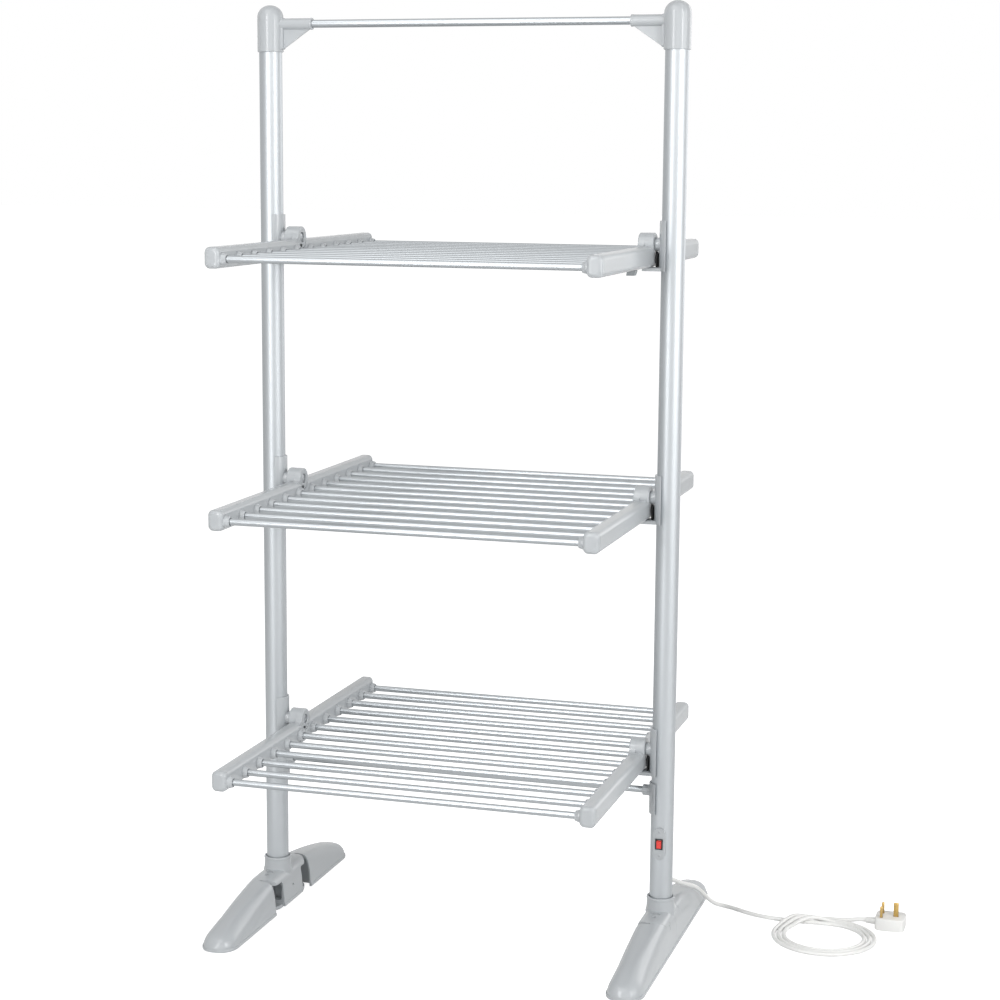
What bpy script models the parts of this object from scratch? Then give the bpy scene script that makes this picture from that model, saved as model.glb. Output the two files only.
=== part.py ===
"""Three-tier heated clothes airer with folding wings and folding feet.

Lengths are in metres. +Z is up, +X runs from the left post to the right post, and +Y runs from the
front to the back. The origin lies on the floor, midway between the posts.

Two aluminium posts carry three tiers. Each tier is a front wing and a rear wing, hinged on one axis
between the posts, and each wing is two moulded rails with six heated tubes. The wings fold up beside
the posts, and the front and rear half of each foot fold in under the tiers.
"""
import math

import bmesh
import bpy
from mathutils import Matrix, Vector

COLLECTION = "heated_clothes_airer"
CUTTERS = "cutters"
LEFT, RIGHT = -1, 1
FRONT, REAR = -1, 1
SIDE_NAMES = {LEFT: "left", RIGHT: "right"}
WING_NAMES = {FRONT: "front", REAR: "rear"}
TIER_NAMES = ("bottom", "middle", "top")

# Clearances
FIT = 0.0003
RUNNING = 0.0005
OVERRUN = 0.002

# Posts
POST_SPACING = 0.660
POST_DIAMETER = 0.0365
POST_WALL = 0.0014
POST_SIDES = 24

# Corner caps and hanging bar
CAP_TOP = 1.479
CAP_HEIGHT = 0.076
CAP_DIAMETER = 0.0415
CAP_DOME = 0.019
CAP_GRIP = 0.050
CAP_SIDES = 24
HANG_BELOW_TOP = 0.0295
HANG_DIAMETER = 0.0125
HANG_WALL = 0.001
SOCKET_DIAMETER = 0.0185
SOCKET_REACH = 0.072
SOCKET_FLOOR = 0.0025
WEB_THICKNESS = 0.004
WEB_DROP = 0.0395
WEB_INSET = 0.006
FLANGE_THICKNESS = 0.0025
FLANGE_WIDTH = 0.013

# Tiers
TOP_PIVOT = 1.1145
MIDDLE_PIVOT = 0.723
BOTTOM_PIVOT = 0.3195
RAIL_GAP = 0.0095
RAIL_WIDTH = 0.0245
RAIL_HEIGHT = 0.032
RAIL_ROUND = 0.005
RAIL_REACH = 0.327
RAIL_END_GAP = 0.0008
PIVOT_ABOVE_RAIL = 0.003
BAR_COUNT = 6
BAR_FIRST = 0.0285
BAR_END_INSET = 0.0135
BAR_DIAMETER = 0.0105
BAR_BELOW_MIDDLE = 0.002
BAR_SIDES = 8
BAR_SEAT = 0.006
BOSS_DIAMETER = 0.0185
BOSS_LENGTH = 0.008
KNUCKLE_DIAMETER = 0.035
KNUCKLE_PROUD = 0.0025
KNUCKLE_CURVE = 0.008
CURVE_STEPS = 4
KNUCKLE_SIDES = 20

# Pivot pins
PIVOT_DIAMETER = 0.008
PIVOT_HEAD_DIAMETER = 0.013
PIVOT_HEAD = 0.003
PIVOT_RECESS_DIAMETER = 0.016
PIVOT_RECESS = 0.0045
PIVOT_SIDES = 12

# Tier brackets
SADDLE_WALL = 0.003
SADDLE_EDGE = 0.008
SADDLE_ABOVE = 0.036
LEDGE_THICKNESS = 0.0055
LEDGE_REACH = 0.018
LEDGE_WIDTH = 0.029
LEDGE_CHAMFER = 0.003
BRACKET_BOSS_DIAMETER = 0.0205

# Leads beside the right brackets
LEAD_DIAMETER = 0.0032
LEAD_RISE = 0.017
LEAD_SPREAD = 0.0055

# Cross rod and its saddles
ROD_HEIGHT = 0.252
ROD_DIAMETER = 0.0105
ROD_SOCKET_DIAMETER = 0.018
ROD_SOCKET_LENGTH = 0.0135
ROD_SOCKET_DEPTH = 0.009
ROD_SADDLE_ABOVE = 0.015
ROD_SADDLE_BELOW = 0.035

# Feet
FOOT_LENGTH = 0.534
FOOT_WIDTH = 0.057
FOOT_HEIGHT = 0.060
FOOT_BASE = 0.0015
FOOT_WALL = 0.0026
FOOT_TIP = 0.030
FOOT_SHOULDER = 0.014
FOOT_CROWN = 0.002
FOOT_DRAFT = 0.0035
FOOT_LIP = 0.005
FOOT_LIP_OUT = 0.0012
FOOT_SEAM = 0.0004
FOOT_HEIGHT_SHARES = ((0.0, 1.0), (0.25, 0.985), (0.40, 0.91), (0.63, 0.755), (0.82, 0.55),
                      (0.93, 0.37), (0.975, 0.25), (1.0, 0.14))
FOOT_STATION_SHARES = (0.0, 0.25, 0.40, 0.63, 0.82, 0.90, 0.945, 0.975, 0.995)
CAVITY_STATION_SHARES = (0.0, 0.40, 0.63, 0.82, 0.90, 0.97)
TIP_BLUNT_SHARE = 0.42
CAVITY_START = 0.082
CAVITY_END = 0.012

# Foot hubs and their hinges
HUB_BASE = 0.005
HUB_BLOCK_LENGTH = 0.080
HUB_BLOCK_OUTER = 0.012
HUB_PLATE = 0.006
CANOPY_RADIUS = 0.019
CANOPY_THICKNESS = 0.012
COLLAR_TOP = 0.080
COLLAR_WALL = 0.0022
RECESS_END = 0.076
HINGE_PLACE = 0.047
HINGE_DIAMETER = 0.006
HINGE_BARREL = 0.018
HINGE_TONGUE = 0.012
TONGUE_PROUD = 0.001
HINGE_RECESS_DIAMETER = 0.012
HINGE_RECESS = 0.0016
PAD_PLACE = 0.233
PAD_DIAMETER = 0.018
PAD_THICKNESS = 0.004
PAD_BOSS_DIAMETER = 0.021

# Rocker switch on the right post
SWITCH_HEIGHT = 0.171
PLATE_WIDTH = 0.0205
PLATE_HEIGHT = 0.052
PLATE_PROUD = 0.0025
PLATE_DEPTH = 0.0085
HOUSING_WIDTH = 0.0125
HOUSING_HEIGHT = 0.0178
HOUSING_RIM = 0.0012
HOUSING_RIM_LAP = 0.001
HOUSING_DEPTH = 0.016
HOUSING_WALL = 0.0012
ROCKER_THROW_DEG = 14.0
ROCKER_PROUD = 0.0022
ROCKER_AXIS_DEPTH = 0.004
ROCKER_DEPTH = 0.009

# Mains cord
CORD_DIAMETER = 0.007
CORD_LIFT = 0.0001
GLAND_HEIGHT = 0.089
GLAND_LENGTH = 0.022
GLAND_ROOT_DIAMETER = 0.013
GLAND_TIP_DIAMETER = 0.0092
GLAND_STUB = 0.004
GLAND_STUB_DIAMETER = 0.009
COIL_CENTRE = (0.580, 0.102)
COIL_START_RADIUS = 0.060
COIL_PITCH = 0.0085
COIL_TURNS = 3
COIL_STEPS = 24
COIL_HUMP = 0.0082
COIL_HUMP_REACH = 0.046
COIL_RUN_OUT = 0.012
PLUG_CORD_HEIGHT = 0.0085
CORD_ROUTE = (
    (0.3300, 0.0600, 0.0862),
    (0.3335, 0.0790, 0.0800),
    (0.3385, 0.0970, 0.0715),
    (0.3445, 0.1145, 0.0632),
    (0.3515, 0.1310, 0.0562),
    (0.3590, 0.1460, 0.0475),
    (0.3660, 0.1600, 0.0350),
    (0.3730, 0.1735, 0.0215),
    (0.3820, 0.1850, 0.0105),
    (0.3940, 0.1920, 0.0046),
    (0.4080, 0.1905, 0.0036),
    (0.4240, 0.1825, 0.0036),
    (0.4420, 0.1730, 0.0036),
    (0.4620, 0.1655, 0.0036),
    (0.4850, 0.1610, 0.0036),
    (0.5100, 0.1596, 0.0036),
    (0.5350, 0.1604, 0.0036),
    (0.5600, 0.1616, 0.0036),
)

# Plug
PLUG_LENGTH = 0.048
PLUG_WIDTH = 0.046
PLUG_THICKNESS = 0.020
PLUG_ROUND = 0.009
PLUG_NECK_LENGTH = 0.016
PLUG_NECK_DIAMETER = 0.013
PLUG_NECK_TIP = 0.0095
PIN_GAP = 0.0222
PIN_WIDTH = 0.004
PIN_BREADTH = 0.0063
PIN_LENGTH = 0.0177
EARTH_BREADTH = 0.008
EARTH_LENGTH = 0.0227
EARTH_PLACE = 0.0325
LIVE_PLACE = 0.010
PIN_SEAT = 0.003

# Clip under the top right rail
CLIP_PLACE = 0.098
CLIP_LENGTH = 0.016
CLIP_WIDTH = 0.012
CLIP_HEIGHT = 0.007

# Vertices closer than this are one
MERGE = 0.000001
FLAT_DEG = 0.05

POST_RADIUS = POST_DIAMETER / 2
POST_X = POST_SPACING / 2
CAP_BOTTOM = CAP_TOP - CAP_HEIGHT
POST_TOP = CAP_BOTTOM + CAP_GRIP
HANG_HEIGHT = CAP_TOP - HANG_BELOW_TOP
POST_FOOT = HUB_BASE + HUB_PLATE
RAIL_OUTER = POST_X - POST_RADIUS - RAIL_GAP
RAIL_INNER = RAIL_OUTER - RAIL_WIDTH
KNUCKLE_INNER = RAIL_INNER - KNUCKLE_PROUD
KNUCKLE_MIDDLE = (KNUCKLE_INNER + RAIL_OUTER) / 2
RAIL_TOP = -PIVOT_ABOVE_RAIL
RAIL_UNDERSIDE = RAIL_TOP - RAIL_HEIGHT
BAR_LEVEL = RAIL_TOP - RAIL_HEIGHT / 2 - BAR_BELOW_MIDDLE
BAR_LAST = RAIL_REACH - BAR_END_INSET
BAR_PITCH = (BAR_LAST - BAR_FIRST) / (BAR_COUNT - 1)
PIVOTS = (BOTTOM_PIVOT, MIDDLE_PIVOT, TOP_PIVOT)
CANOPY_BOTTOM = FOOT_HEIGHT - CANOPY_THICKNESS
HALF_FOOT = FOOT_LENGTH / 2

FINISHES = {
    "anodised_aluminium": ("#C9CCCF", 0.32, 0.9),
    "coated_tube": ("#DADCDD", 0.30, 0.6),
    "grey_moulding": ("#C3C8CB", 0.45, 0.0),
    "grey_moulding_dark": ("#B4BABD", 0.50, 0.0),
    "zinc_steel": ("#A9ACAE", 0.38, 0.9),
    "black_moulding": ("#17181A", 0.42, 0.0),
    "black_flex": ("#1D1D1F", 0.60, 0.0),
    "white_flex": ("#E9E9E7", 0.48, 0.0),
    "red_lens": ("#C8201C", 0.25, 0.0),
    "rubber": ("#3A3B3C", 0.85, 0.0),
    "brass": ("#C8A86A", 0.30, 1.0),
}


def linear(hex_colour):
    """The linear colour of an sRGB hex value."""
    values = [int(hex_colour[i:i + 2], 16) / 255 for i in (1, 3, 5)]
    return [v / 12.92 if v <= 0.04045 else ((v + 0.055) / 1.055) ** 2.4 for v in values]


def give_material(piece, finish):
    """Gives a piece its own material of the named finish."""
    colour, roughness, metallic = FINISHES[finish]
    material = bpy.data.materials.new(piece.name + "_" + finish)
    material.use_nodes = True
    shader = material.node_tree.nodes["Principled BSDF"]
    shader.inputs["Base Color"].default_value = (*linear(colour), 1)
    shader.inputs["Roughness"].default_value = roughness
    shader.inputs["Metallic"].default_value = metallic
    material.diffuse_color = (*linear(colour), 1)
    piece.data.materials.clear()
    piece.data.materials.append(material)


def object_from(bm, name):
    """A new object in the cutters' collection from a bmesh, with its faces pointing out."""
    bmesh.ops.recalc_face_normals(bm, faces=bm.faces)
    mesh = bpy.data.meshes.new(name)
    bm.to_mesh(mesh)
    bm.free()
    piece = bpy.data.objects.new(name, mesh)
    bpy.data.collections[CUTTERS].objects.link(piece)
    return piece


def box(low, high, round_edges=0, segments=2, keep_square=None, name="box"):
    """A box between two corners, its edges rounded apart from those that keep_square accepts."""
    low, high = Vector(low), Vector(high)
    bm = bmesh.new()
    bmesh.ops.create_cube(bm, size=1)
    for vert in bm.verts:
        share = vert.co + Vector((0.5, 0.5, 0.5))
        vert.co = Vector(low[i] + share[i] * (high[i] - low[i]) for i in range(3))
    if round_edges:
        edges = [e for e in bm.edges if keep_square is None or not keep_square(e)]
        bmesh.ops.bevel(bm, geom=edges, offset=round_edges, segments=segments, profile=0.5, affect="EDGES",
                        clamp_overlap=True)
    return object_from(bm, name)


def rod(start, end, diameter, sides, end_diameter=None, name="rod"):
    """A cylinder or cone from start to end."""
    start, end = Vector(start), Vector(end)
    along = end - start
    tip = diameter if end_diameter is None else end_diameter
    bm = bmesh.new()
    bmesh.ops.create_cone(bm, cap_ends=True, segments=sides, radius1=diameter / 2, radius2=tip / 2,
                          depth=along.length)
    turn = along.to_track_quat("Z", "Y").to_matrix().to_4x4()
    bmesh.ops.transform(bm, matrix=Matrix.Translation((start + end) / 2) @ turn, verts=bm.verts)
    return object_from(bm, name)


def prism(outline, low, high, axis, name="prism"):
    """A flat outline pushed along an axis from low to high: its points are in the other two axes."""
    bm = bmesh.new()
    order = {"X": (2, 0, 1), "Y": (0, 2, 1), "Z": (0, 1, 2)}[axis]

    def place(point, depth):
        values = (point[0], point[1], depth)
        return Vector(values[order[i]] for i in range(3))

    first = [bm.verts.new(place(p, low)) for p in outline]
    second = [bm.verts.new(place(p, high)) for p in outline]
    bm.faces.new(first)
    bm.faces.new(list(reversed(second)))
    for i in range(len(outline)):
        j = (i + 1) % len(outline)
        bm.faces.new((first[i], second[i], second[j], first[j]))
    return object_from(bm, name)


def turned(profile, sides, name="turned"):
    """A profile of (radius, height) points turned about the Z axis with a Screw modifier."""
    mesh = bpy.data.meshes.new(name)
    mesh.from_pydata([(r, 0, z) for r, z in profile], [(i, i + 1) for i in range(len(profile) - 1)], [])
    piece = bpy.data.objects.new(name, mesh)
    bpy.data.collections[CUTTERS].objects.link(piece)
    screw = piece.modifiers.new("turn", "SCREW")
    screw.steps = screw.render_steps = sides
    screw.use_merge_vertices = True
    screw.merge_threshold = MERGE
    return settle(piece)


def settle(piece):
    """Replaces an object's mesh by its evaluated one, closed and with its faces pointing out."""
    graph = bpy.context.evaluated_depsgraph_get()
    mesh = bpy.data.meshes.new_from_object(piece.evaluated_get(graph))
    piece.modifiers.clear()
    bm = bmesh.new()
    bm.from_mesh(mesh)
    bmesh.ops.remove_doubles(bm, verts=bm.verts, dist=MERGE)
    bmesh.ops.recalc_face_normals(bm, faces=bm.faces)
    bm.to_mesh(mesh)
    bm.free()
    if piece.type == "MESH":
        piece.data = mesh
        return piece
    solid = bpy.data.objects.new(piece.name + "_solid", mesh)
    bpy.data.collections[CUTTERS].objects.link(solid)
    solid.matrix_world = piece.matrix_world.copy()
    bpy.data.objects.remove(piece)
    return solid


def combine(piece, tools, operation):
    """Joins tools to a piece, cuts them out of it, or keeps what they share, and removes the tools."""
    for tool in tools:
        modifier = piece.modifiers.new("combine", "BOOLEAN")
        modifier.operation = operation
        modifier.object = tool
        bpy.context.view_layer.update()
        settle(piece)
        bpy.data.objects.remove(tool)
    return piece


def join(piece, *tools):
    return combine(piece, tools, "UNION")


def cut(piece, *tools):
    return combine(piece, tools, "DIFFERENCE")


def share(piece, *tools):
    return combine(piece, tools, "INTERSECT")


def merge_flats(piece):
    """Joins the flat faces that cuts have left split."""
    bm = bmesh.new()
    bm.from_mesh(piece.data)
    bmesh.ops.dissolve_limit(bm, angle_limit=math.radians(FLAT_DEG), verts=bm.verts, edges=bm.edges)
    bm.to_mesh(piece.data)
    bm.free()
    return piece


def copy_of(piece):
    """A copy of a piece with a mesh of its own."""
    copy = bpy.data.objects.new(piece.name, piece.data.copy())
    bpy.data.collections[CUTTERS].objects.link(copy)
    return copy


def node(piece, name, finish, empty=None):
    """Names a finished piece, moves it to the airer's collection and hangs it on an empty, if given."""
    piece.name = name
    piece.data.name = name
    bpy.data.collections[CUTTERS].objects.unlink(piece)
    bpy.data.collections[COLLECTION].objects.link(piece)
    if empty is not None:
        piece.parent = empty
    give_material(piece, finish)
    piece.data.shade_smooth()
    piece.data.set_sharp_from_angle(angle=math.radians(30))
    return piece


def empty_at(name, place):
    """An empty on a joint's axis."""
    empty = bpy.data.objects.new(name, None)
    empty.location = place
    empty.empty_display_size = POST_DIAMETER
    bpy.data.collections[COLLECTION].objects.link(empty)
    return empty


def tube(start, end, diameter, wall, sides, name="tube"):
    """A straight open tube."""
    along = (Vector(end) - Vector(start)).normalized() * OVERRUN
    outer = rod(start, end, diameter, sides, name=name)
    bore = rod(Vector(start) - along, Vector(end) + along, diameter - 2 * wall, sides)
    return cut(outer, bore)


def make_post(side):
    """A post: an open tube from the foot's socket to the corner cap."""
    x = side * POST_X
    post = tube((x, 0, POST_FOOT + FIT), (x, 0, POST_TOP - FIT), POST_DIAMETER, POST_WALL, POST_SIDES)
    if side == RIGHT:
        slot = box((x - HOUSING_WIDTH / 2 + HOUSING_RIM_LAP - FIT, -POST_DIAMETER,
                    SWITCH_HEIGHT - HOUSING_HEIGHT / 2 + HOUSING_RIM_LAP - FIT),
                   (x + HOUSING_WIDTH / 2 - HOUSING_RIM_LAP + FIT, 0,
                    SWITCH_HEIGHT + HOUSING_HEIGHT / 2 - HOUSING_RIM_LAP + FIT))
        hole = rod((x, 0, GLAND_HEIGHT), (x, POST_DIAMETER, GLAND_HEIGHT), GLAND_STUB_DIAMETER + 2 * FIT,
                   PIVOT_SIDES)
        cut(post, slot, hole)
    node(post, "post_" + SIDE_NAMES[side], "anodised_aluminium")


def make_cap(side):
    """A corner cap: domed sleeve, socket for the hanging bar, gusset web and flange."""
    x = side * POST_X
    radius = CAP_DIAMETER / 2
    quarter = 6
    profile = [(0, CAP_TOP)]
    for i in range(1, quarter + 1):
        angle = math.pi / 2 * i / quarter
        profile.append((radius * math.sin(angle), CAP_TOP - CAP_DOME + CAP_DOME * math.cos(angle)))
    profile += [(radius, CAP_BOTTOM), (0, CAP_BOTTOM)]
    cap = turned(profile, CAP_SIDES)
    cap.data.transform(Matrix.Translation((x, 0, 0)))
    mouth = side * (POST_X - SOCKET_REACH)
    skin = side * (POST_X - radius)
    seat = side * (POST_X - radius + OVERRUN)
    socket = rod((mouth, 0, HANG_HEIGHT), (seat, 0, HANG_HEIGHT), SOCKET_DIAMETER, PIVOT_SIDES)
    web = prism(((mouth + side * WEB_INSET, HANG_HEIGHT), (seat, HANG_HEIGHT), (seat, HANG_HEIGHT - WEB_DROP)),
                -WEB_THICKNESS / 2, WEB_THICKNESS / 2, "Y")
    lows = sorted((skin - side * FLANGE_THICKNESS, seat))
    flange = box((lows[0], -FLANGE_WIDTH / 2, HANG_HEIGHT - WEB_DROP),
                 (lows[1], FLANGE_WIDTH / 2, HANG_HEIGHT + SOCKET_DIAMETER / 2))
    join(cap, socket, web, flange)
    bore = rod((x, 0, CAP_BOTTOM - OVERRUN), (x, 0, POST_TOP), POST_DIAMETER + 2 * FIT, POST_SIDES)
    bar_bore = rod((mouth - side * OVERRUN, 0, HANG_HEIGHT), (side * hang_end() + side * FIT, 0, HANG_HEIGHT),
                   HANG_DIAMETER + 2 * FIT, PIVOT_SIDES)
    cut(cap, bore, bar_bore)
    node(merge_flats(cap), "corner_cap_" + SIDE_NAMES[side], "grey_moulding")


def hang_end():
    """How far from the middle the hanging bar ends, inside its sockets."""
    return POST_X - CAP_DIAMETER / 2 - SOCKET_FLOOR


def make_hanging_bar():
    bar = tube((-hang_end(), 0, HANG_HEIGHT), (hang_end(), 0, HANG_HEIGHT), HANG_DIAMETER, HANG_WALL, PIVOT_SIDES)
    node(bar, "hanging_bar", "coated_tube")


def saddle(side, low, high):
    """A shell round the inner side of a post, not yet cut to the post."""
    x = side * POST_X
    wall = rod((x, 0, low), (x, 0, high), POST_DIAMETER + 2 * FIT + 2 * SADDLE_WALL, POST_SIDES)
    edges = sorted((x - side * SADDLE_EDGE, x + side * POST_DIAMETER))
    outside = box((edges[0], -POST_DIAMETER, low - OVERRUN), (edges[1], POST_DIAMETER, high + OVERRUN))
    return cut(wall, outside)


def post_clearance(side, low, high):
    """What a piece that clasps a post is cut by."""
    x = side * POST_X
    return rod((x, 0, low - OVERRUN), (x, 0, high + OVERRUN), POST_DIAMETER + 2 * FIT, POST_SIDES)


def make_bracket(side, tier):
    """A tier bracket: saddle on the post, pivot boss, and the ledge that the open wings lie on."""
    pivot = PIVOTS[tier]
    ledge_top = pivot + RAIL_UNDERSIDE - FIT
    low, high = ledge_top - LEDGE_THICKNESS, pivot + SADDLE_ABOVE
    bracket = saddle(side, low, high)
    tip = RAIL_OUTER - LEDGE_REACH
    root = POST_X - SADDLE_EDGE
    ledge = prism(((side * (tip + LEDGE_CHAMFER), ledge_top), (side * root, ledge_top), (side * root, low),
                   (side * tip, low), (side * tip, low + LEDGE_CHAMFER)),
                  -LEDGE_WIDTH / 2, LEDGE_WIDTH / 2, "Y")
    boss = rod((side * (RAIL_OUTER + FIT), 0, pivot), (side * (POST_X - POST_RADIUS), 0, pivot),
               BRACKET_BOSS_DIAMETER, KNUCKLE_SIDES)
    join(bracket, ledge, boss)
    bore = rod((side * RAIL_INNER, 0, pivot), (side * POST_X, 0, pivot), PIVOT_DIAMETER + 2 * FIT, PIVOT_SIDES)
    cut(bracket, post_clearance(side, low, high), bore)
    node(merge_flats(bracket), "tier_bracket_%s_%s" % (TIER_NAMES[tier], SIDE_NAMES[side]), "grey_moulding")


def make_pivot_pin(side, tier):
    """A headed pin through both knuckles into the bracket's boss."""
    pivot = PIVOTS[tier]
    head_face = KNUCKLE_INNER + PIVOT_RECESS - PIVOT_HEAD - FIT
    pin = rod((side * (head_face + PIVOT_HEAD / 2), 0, pivot),
              (side * (POST_X - POST_RADIUS - FIT), 0, pivot), PIVOT_DIAMETER, PIVOT_SIDES)
    head = rod((side * head_face, 0, pivot), (side * (head_face + PIVOT_HEAD), 0, pivot),
               PIVOT_HEAD_DIAMETER, PIVOT_SIDES)
    join(pin, head)
    node(pin, "pivot_pin_%s_%s" % (TIER_NAMES[tier], SIDE_NAMES[side]), "zinc_steel")


def bar_places(wing):
    return [wing * (BAR_FIRST + i * BAR_PITCH) for i in range(BAR_COUNT)]


def rail_solid(side, wing):
    """A moulded rail with its tube bosses and its half of the hinge knuckle, about a pivot at z = 0.

    The front wing has the inner half of the knuckle and the rear wing the outer half, and each rail
    is cut away round the other wing's half.
    """
    near, far = sorted((wing * RAIL_END_GAP, wing * RAIL_REACH))
    edges_x = sorted((side * RAIL_INNER, side * RAIL_OUTER))
    inner_end = wing * RAIL_END_GAP
    rail = box((edges_x[0], near, RAIL_UNDERSIDE), (edges_x[1], far, RAIL_TOP), RAIL_ROUND,
               keep_square=lambda edge: all(abs(v.co.y - inner_end) < FIT for v in edge.verts))
    if wing == FRONT:
        own = (KNUCKLE_INNER, KNUCKLE_MIDDLE - FIT)
        other = (KNUCKLE_MIDDLE - FIT / 2, RAIL_OUTER + OVERRUN)
    else:
        own = (KNUCKLE_MIDDLE + FIT, RAIL_OUTER)
        other = (KNUCKLE_INNER - OVERRUN, KNUCKLE_MIDDLE + FIT / 2)
    clear = rod((side * other[0], 0, 0), (side * other[1], 0, 0), KNUCKLE_DIAMETER + 2 * RUNNING, KNUCKLE_SIDES)
    cut(rail, clear)
    barrel = prism([(wing * y, z) for y, z in knuckle_section()], side * own[0], side * own[1], "X")
    bosses = [rod((side * (RAIL_INNER + BOSS_LENGTH), y, BAR_LEVEL), (side * (RAIL_INNER - BOSS_LENGTH), y, BAR_LEVEL),
                  BOSS_DIAMETER, BAR_SIDES) for y in bar_places(wing)]
    join(rail, barrel, *bosses)
    cut(rail, rod((side * (KNUCKLE_INNER - OVERRUN), 0, 0), (side * (RAIL_OUTER + OVERRUN), 0, 0),
                  PIVOT_DIAMETER + 2 * FIT, PIVOT_SIDES))
    if wing == FRONT:
        cut(rail, rod((side * (KNUCKLE_INNER - OVERRUN), 0, 0), (side * (KNUCKLE_INNER + PIVOT_RECESS), 0, 0),
                      PIVOT_RECESS_DIAMETER, KNUCKLE_SIDES))
    return rail


def knuckle_section():
    """A knuckle's outline for the rear wing, with the curve that runs down from it to the rail's top."""
    radius = KNUCKLE_DIAMETER / 2
    curve_z = RAIL_TOP + KNUCKLE_CURVE
    curve_y = math.sqrt((radius + KNUCKLE_CURVE) ** 2 - curve_z ** 2)
    first = math.atan2(curve_z, curve_y)
    last = math.atan2(RAIL_TOP - KNUCKLE_PROUD, radius) + 2 * math.pi
    points = []
    for i in range(KNUCKLE_SIDES + 1):
        angle = first + (last - first) * i / KNUCKLE_SIDES
        points.append((radius * math.cos(angle), radius * math.sin(angle)))
    points.append((curve_y + FIT, RAIL_TOP - FIT))
    for i in range(1, CURVE_STEPS):
        angle = (first - math.pi / 2) * i / CURVE_STEPS - math.pi / 2
        points.append((curve_y + KNUCKLE_CURVE * math.cos(angle), curve_z + KNUCKLE_CURVE * math.sin(angle)))
    return points


def wing_solids(wing):
    """A wing about its pivot: the left rail carries the six tubes, whose other ends sit in the right rail."""
    seat = RAIL_INNER - BOSS_LENGTH + BAR_SEAT
    left = merge_flats(rail_solid(LEFT, wing))
    join(left, *[rod((-RAIL_INNER - BAR_SEAT / 2, y, BAR_LEVEL), (seat, y, BAR_LEVEL), BAR_DIAMETER, BAR_SIDES)
                 for y in bar_places(wing)])
    right = merge_flats(rail_solid(RIGHT, wing))
    cut(right, *[rod((seat - BAR_SEAT - OVERRUN, y, BAR_LEVEL), (seat + FIT, y, BAR_LEVEL),
                     BAR_DIAMETER + 2 * FIT, BAR_SIDES) for y in bar_places(wing)])
    return left, right


def make_wings(wing):
    """The same wing at every tier, hung on the tier's pivot, with a clip under the top right rail."""
    left, right = wing_solids(wing)
    for tier, tier_name in enumerate(TIER_NAMES):
        label = "%s_%s" % (tier_name, WING_NAMES[wing])
        empty = empty_at("hinge_" + label, (0, 0, PIVOTS[tier]))
        node(copy_of(left), "wing_%s_left_rail" % label, "grey_moulding", empty)
        node(copy_of(right), "wing_%s_right_rail" % label, "grey_moulding", empty)
    bpy.data.objects.remove(left)
    bpy.data.objects.remove(right)
    if wing == FRONT:
        make_clip(empty)


def make_clip(empty):
    """The small clip under the top right rail."""
    middle = (RAIL_INNER + RAIL_OUTER) / 2
    top = RAIL_UNDERSIDE - FIT
    clip = box((middle - CLIP_WIDTH / 2, -CLIP_PLACE - CLIP_LENGTH / 2, top - CLIP_HEIGHT),
               (middle + CLIP_WIDTH / 2, -CLIP_PLACE + CLIP_LENGTH / 2, top), CLIP_HEIGHT / 5, segments=1)
    node(clip, "rail_clip", "grey_moulding_dark", empty)


def make_lead(tier):
    """The black lead that loops beside the pivot, between the right bracket and the rails."""
    pivot = PIVOTS[tier]
    x = (RAIL_OUTER + POST_X - POST_RADIUS - FIT - SADDLE_WALL) / 2
    floor = pivot + RAIL_UNDERSIDE
    turn_height = floor + LEAD_RISE
    turn_steps = 8
    points = [(x, -LEAD_SPREAD, floor)]
    for i in range(turn_steps + 1):
        angle = math.pi * (1 - i / turn_steps)
        points.append((x, LEAD_SPREAD * math.cos(angle), turn_height + LEAD_SPREAD * math.sin(angle)))
    points.append((x, LEAD_SPREAD, floor))
    lead = wire(points, LEAD_DIAMETER, 2, "lead")
    node(lead, "tier_lead_" + TIER_NAMES[tier], "black_flex")


def wire(points, diameter, resolution, name):
    """A round wire through the points, as a closed mesh."""
    curve = bpy.data.curves.new(name, "CURVE")
    curve.dimensions = "3D"
    curve.bevel_depth = diameter / 2
    curve.bevel_resolution = resolution
    curve.use_fill_caps = True
    spline = curve.splines.new("POLY")
    spline.points.add(len(points) - 1)
    for point, place in zip(spline.points, points):
        point.co = (*place, 1)
    piece = bpy.data.objects.new(name, curve)
    bpy.data.collections[CUTTERS].objects.link(piece)
    return settle(piece)


def make_cross_rod():
    end = rod_end()
    bar = rod((-end, 0, ROD_HEIGHT), (end, 0, ROD_HEIGHT), ROD_DIAMETER, PIVOT_SIDES)
    node(bar, "cross_rod", "coated_tube")


def rod_socket_face():
    return POST_X - POST_RADIUS - ROD_SOCKET_LENGTH


def rod_end():
    """How far from the middle the cross rod ends, inside its sockets."""
    return rod_socket_face() + ROD_SOCKET_DEPTH - FIT


def make_rod_saddle(side):
    """A saddle on the post with the socket that holds the cross rod."""
    low, high = ROD_HEIGHT - ROD_SADDLE_BELOW, ROD_HEIGHT + ROD_SADDLE_ABOVE
    piece = saddle(side, low, high)
    face = rod_socket_face()
    socket = rod((side * face, 0, ROD_HEIGHT), (side * (POST_X - POST_RADIUS), 0, ROD_HEIGHT), ROD_SOCKET_DIAMETER,
                 PIVOT_SIDES)
    join(piece, socket)
    bore = rod((side * (face - OVERRUN), 0, ROD_HEIGHT), (side * (face + ROD_SOCKET_DEPTH), 0, ROD_HEIGHT),
               ROD_DIAMETER + 2 * FIT, PIVOT_SIDES)
    cut(piece, post_clearance(side, low, high), bore)
    node(merge_flats(piece), "rod_saddle_" + SIDE_NAMES[side], "grey_moulding")


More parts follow.
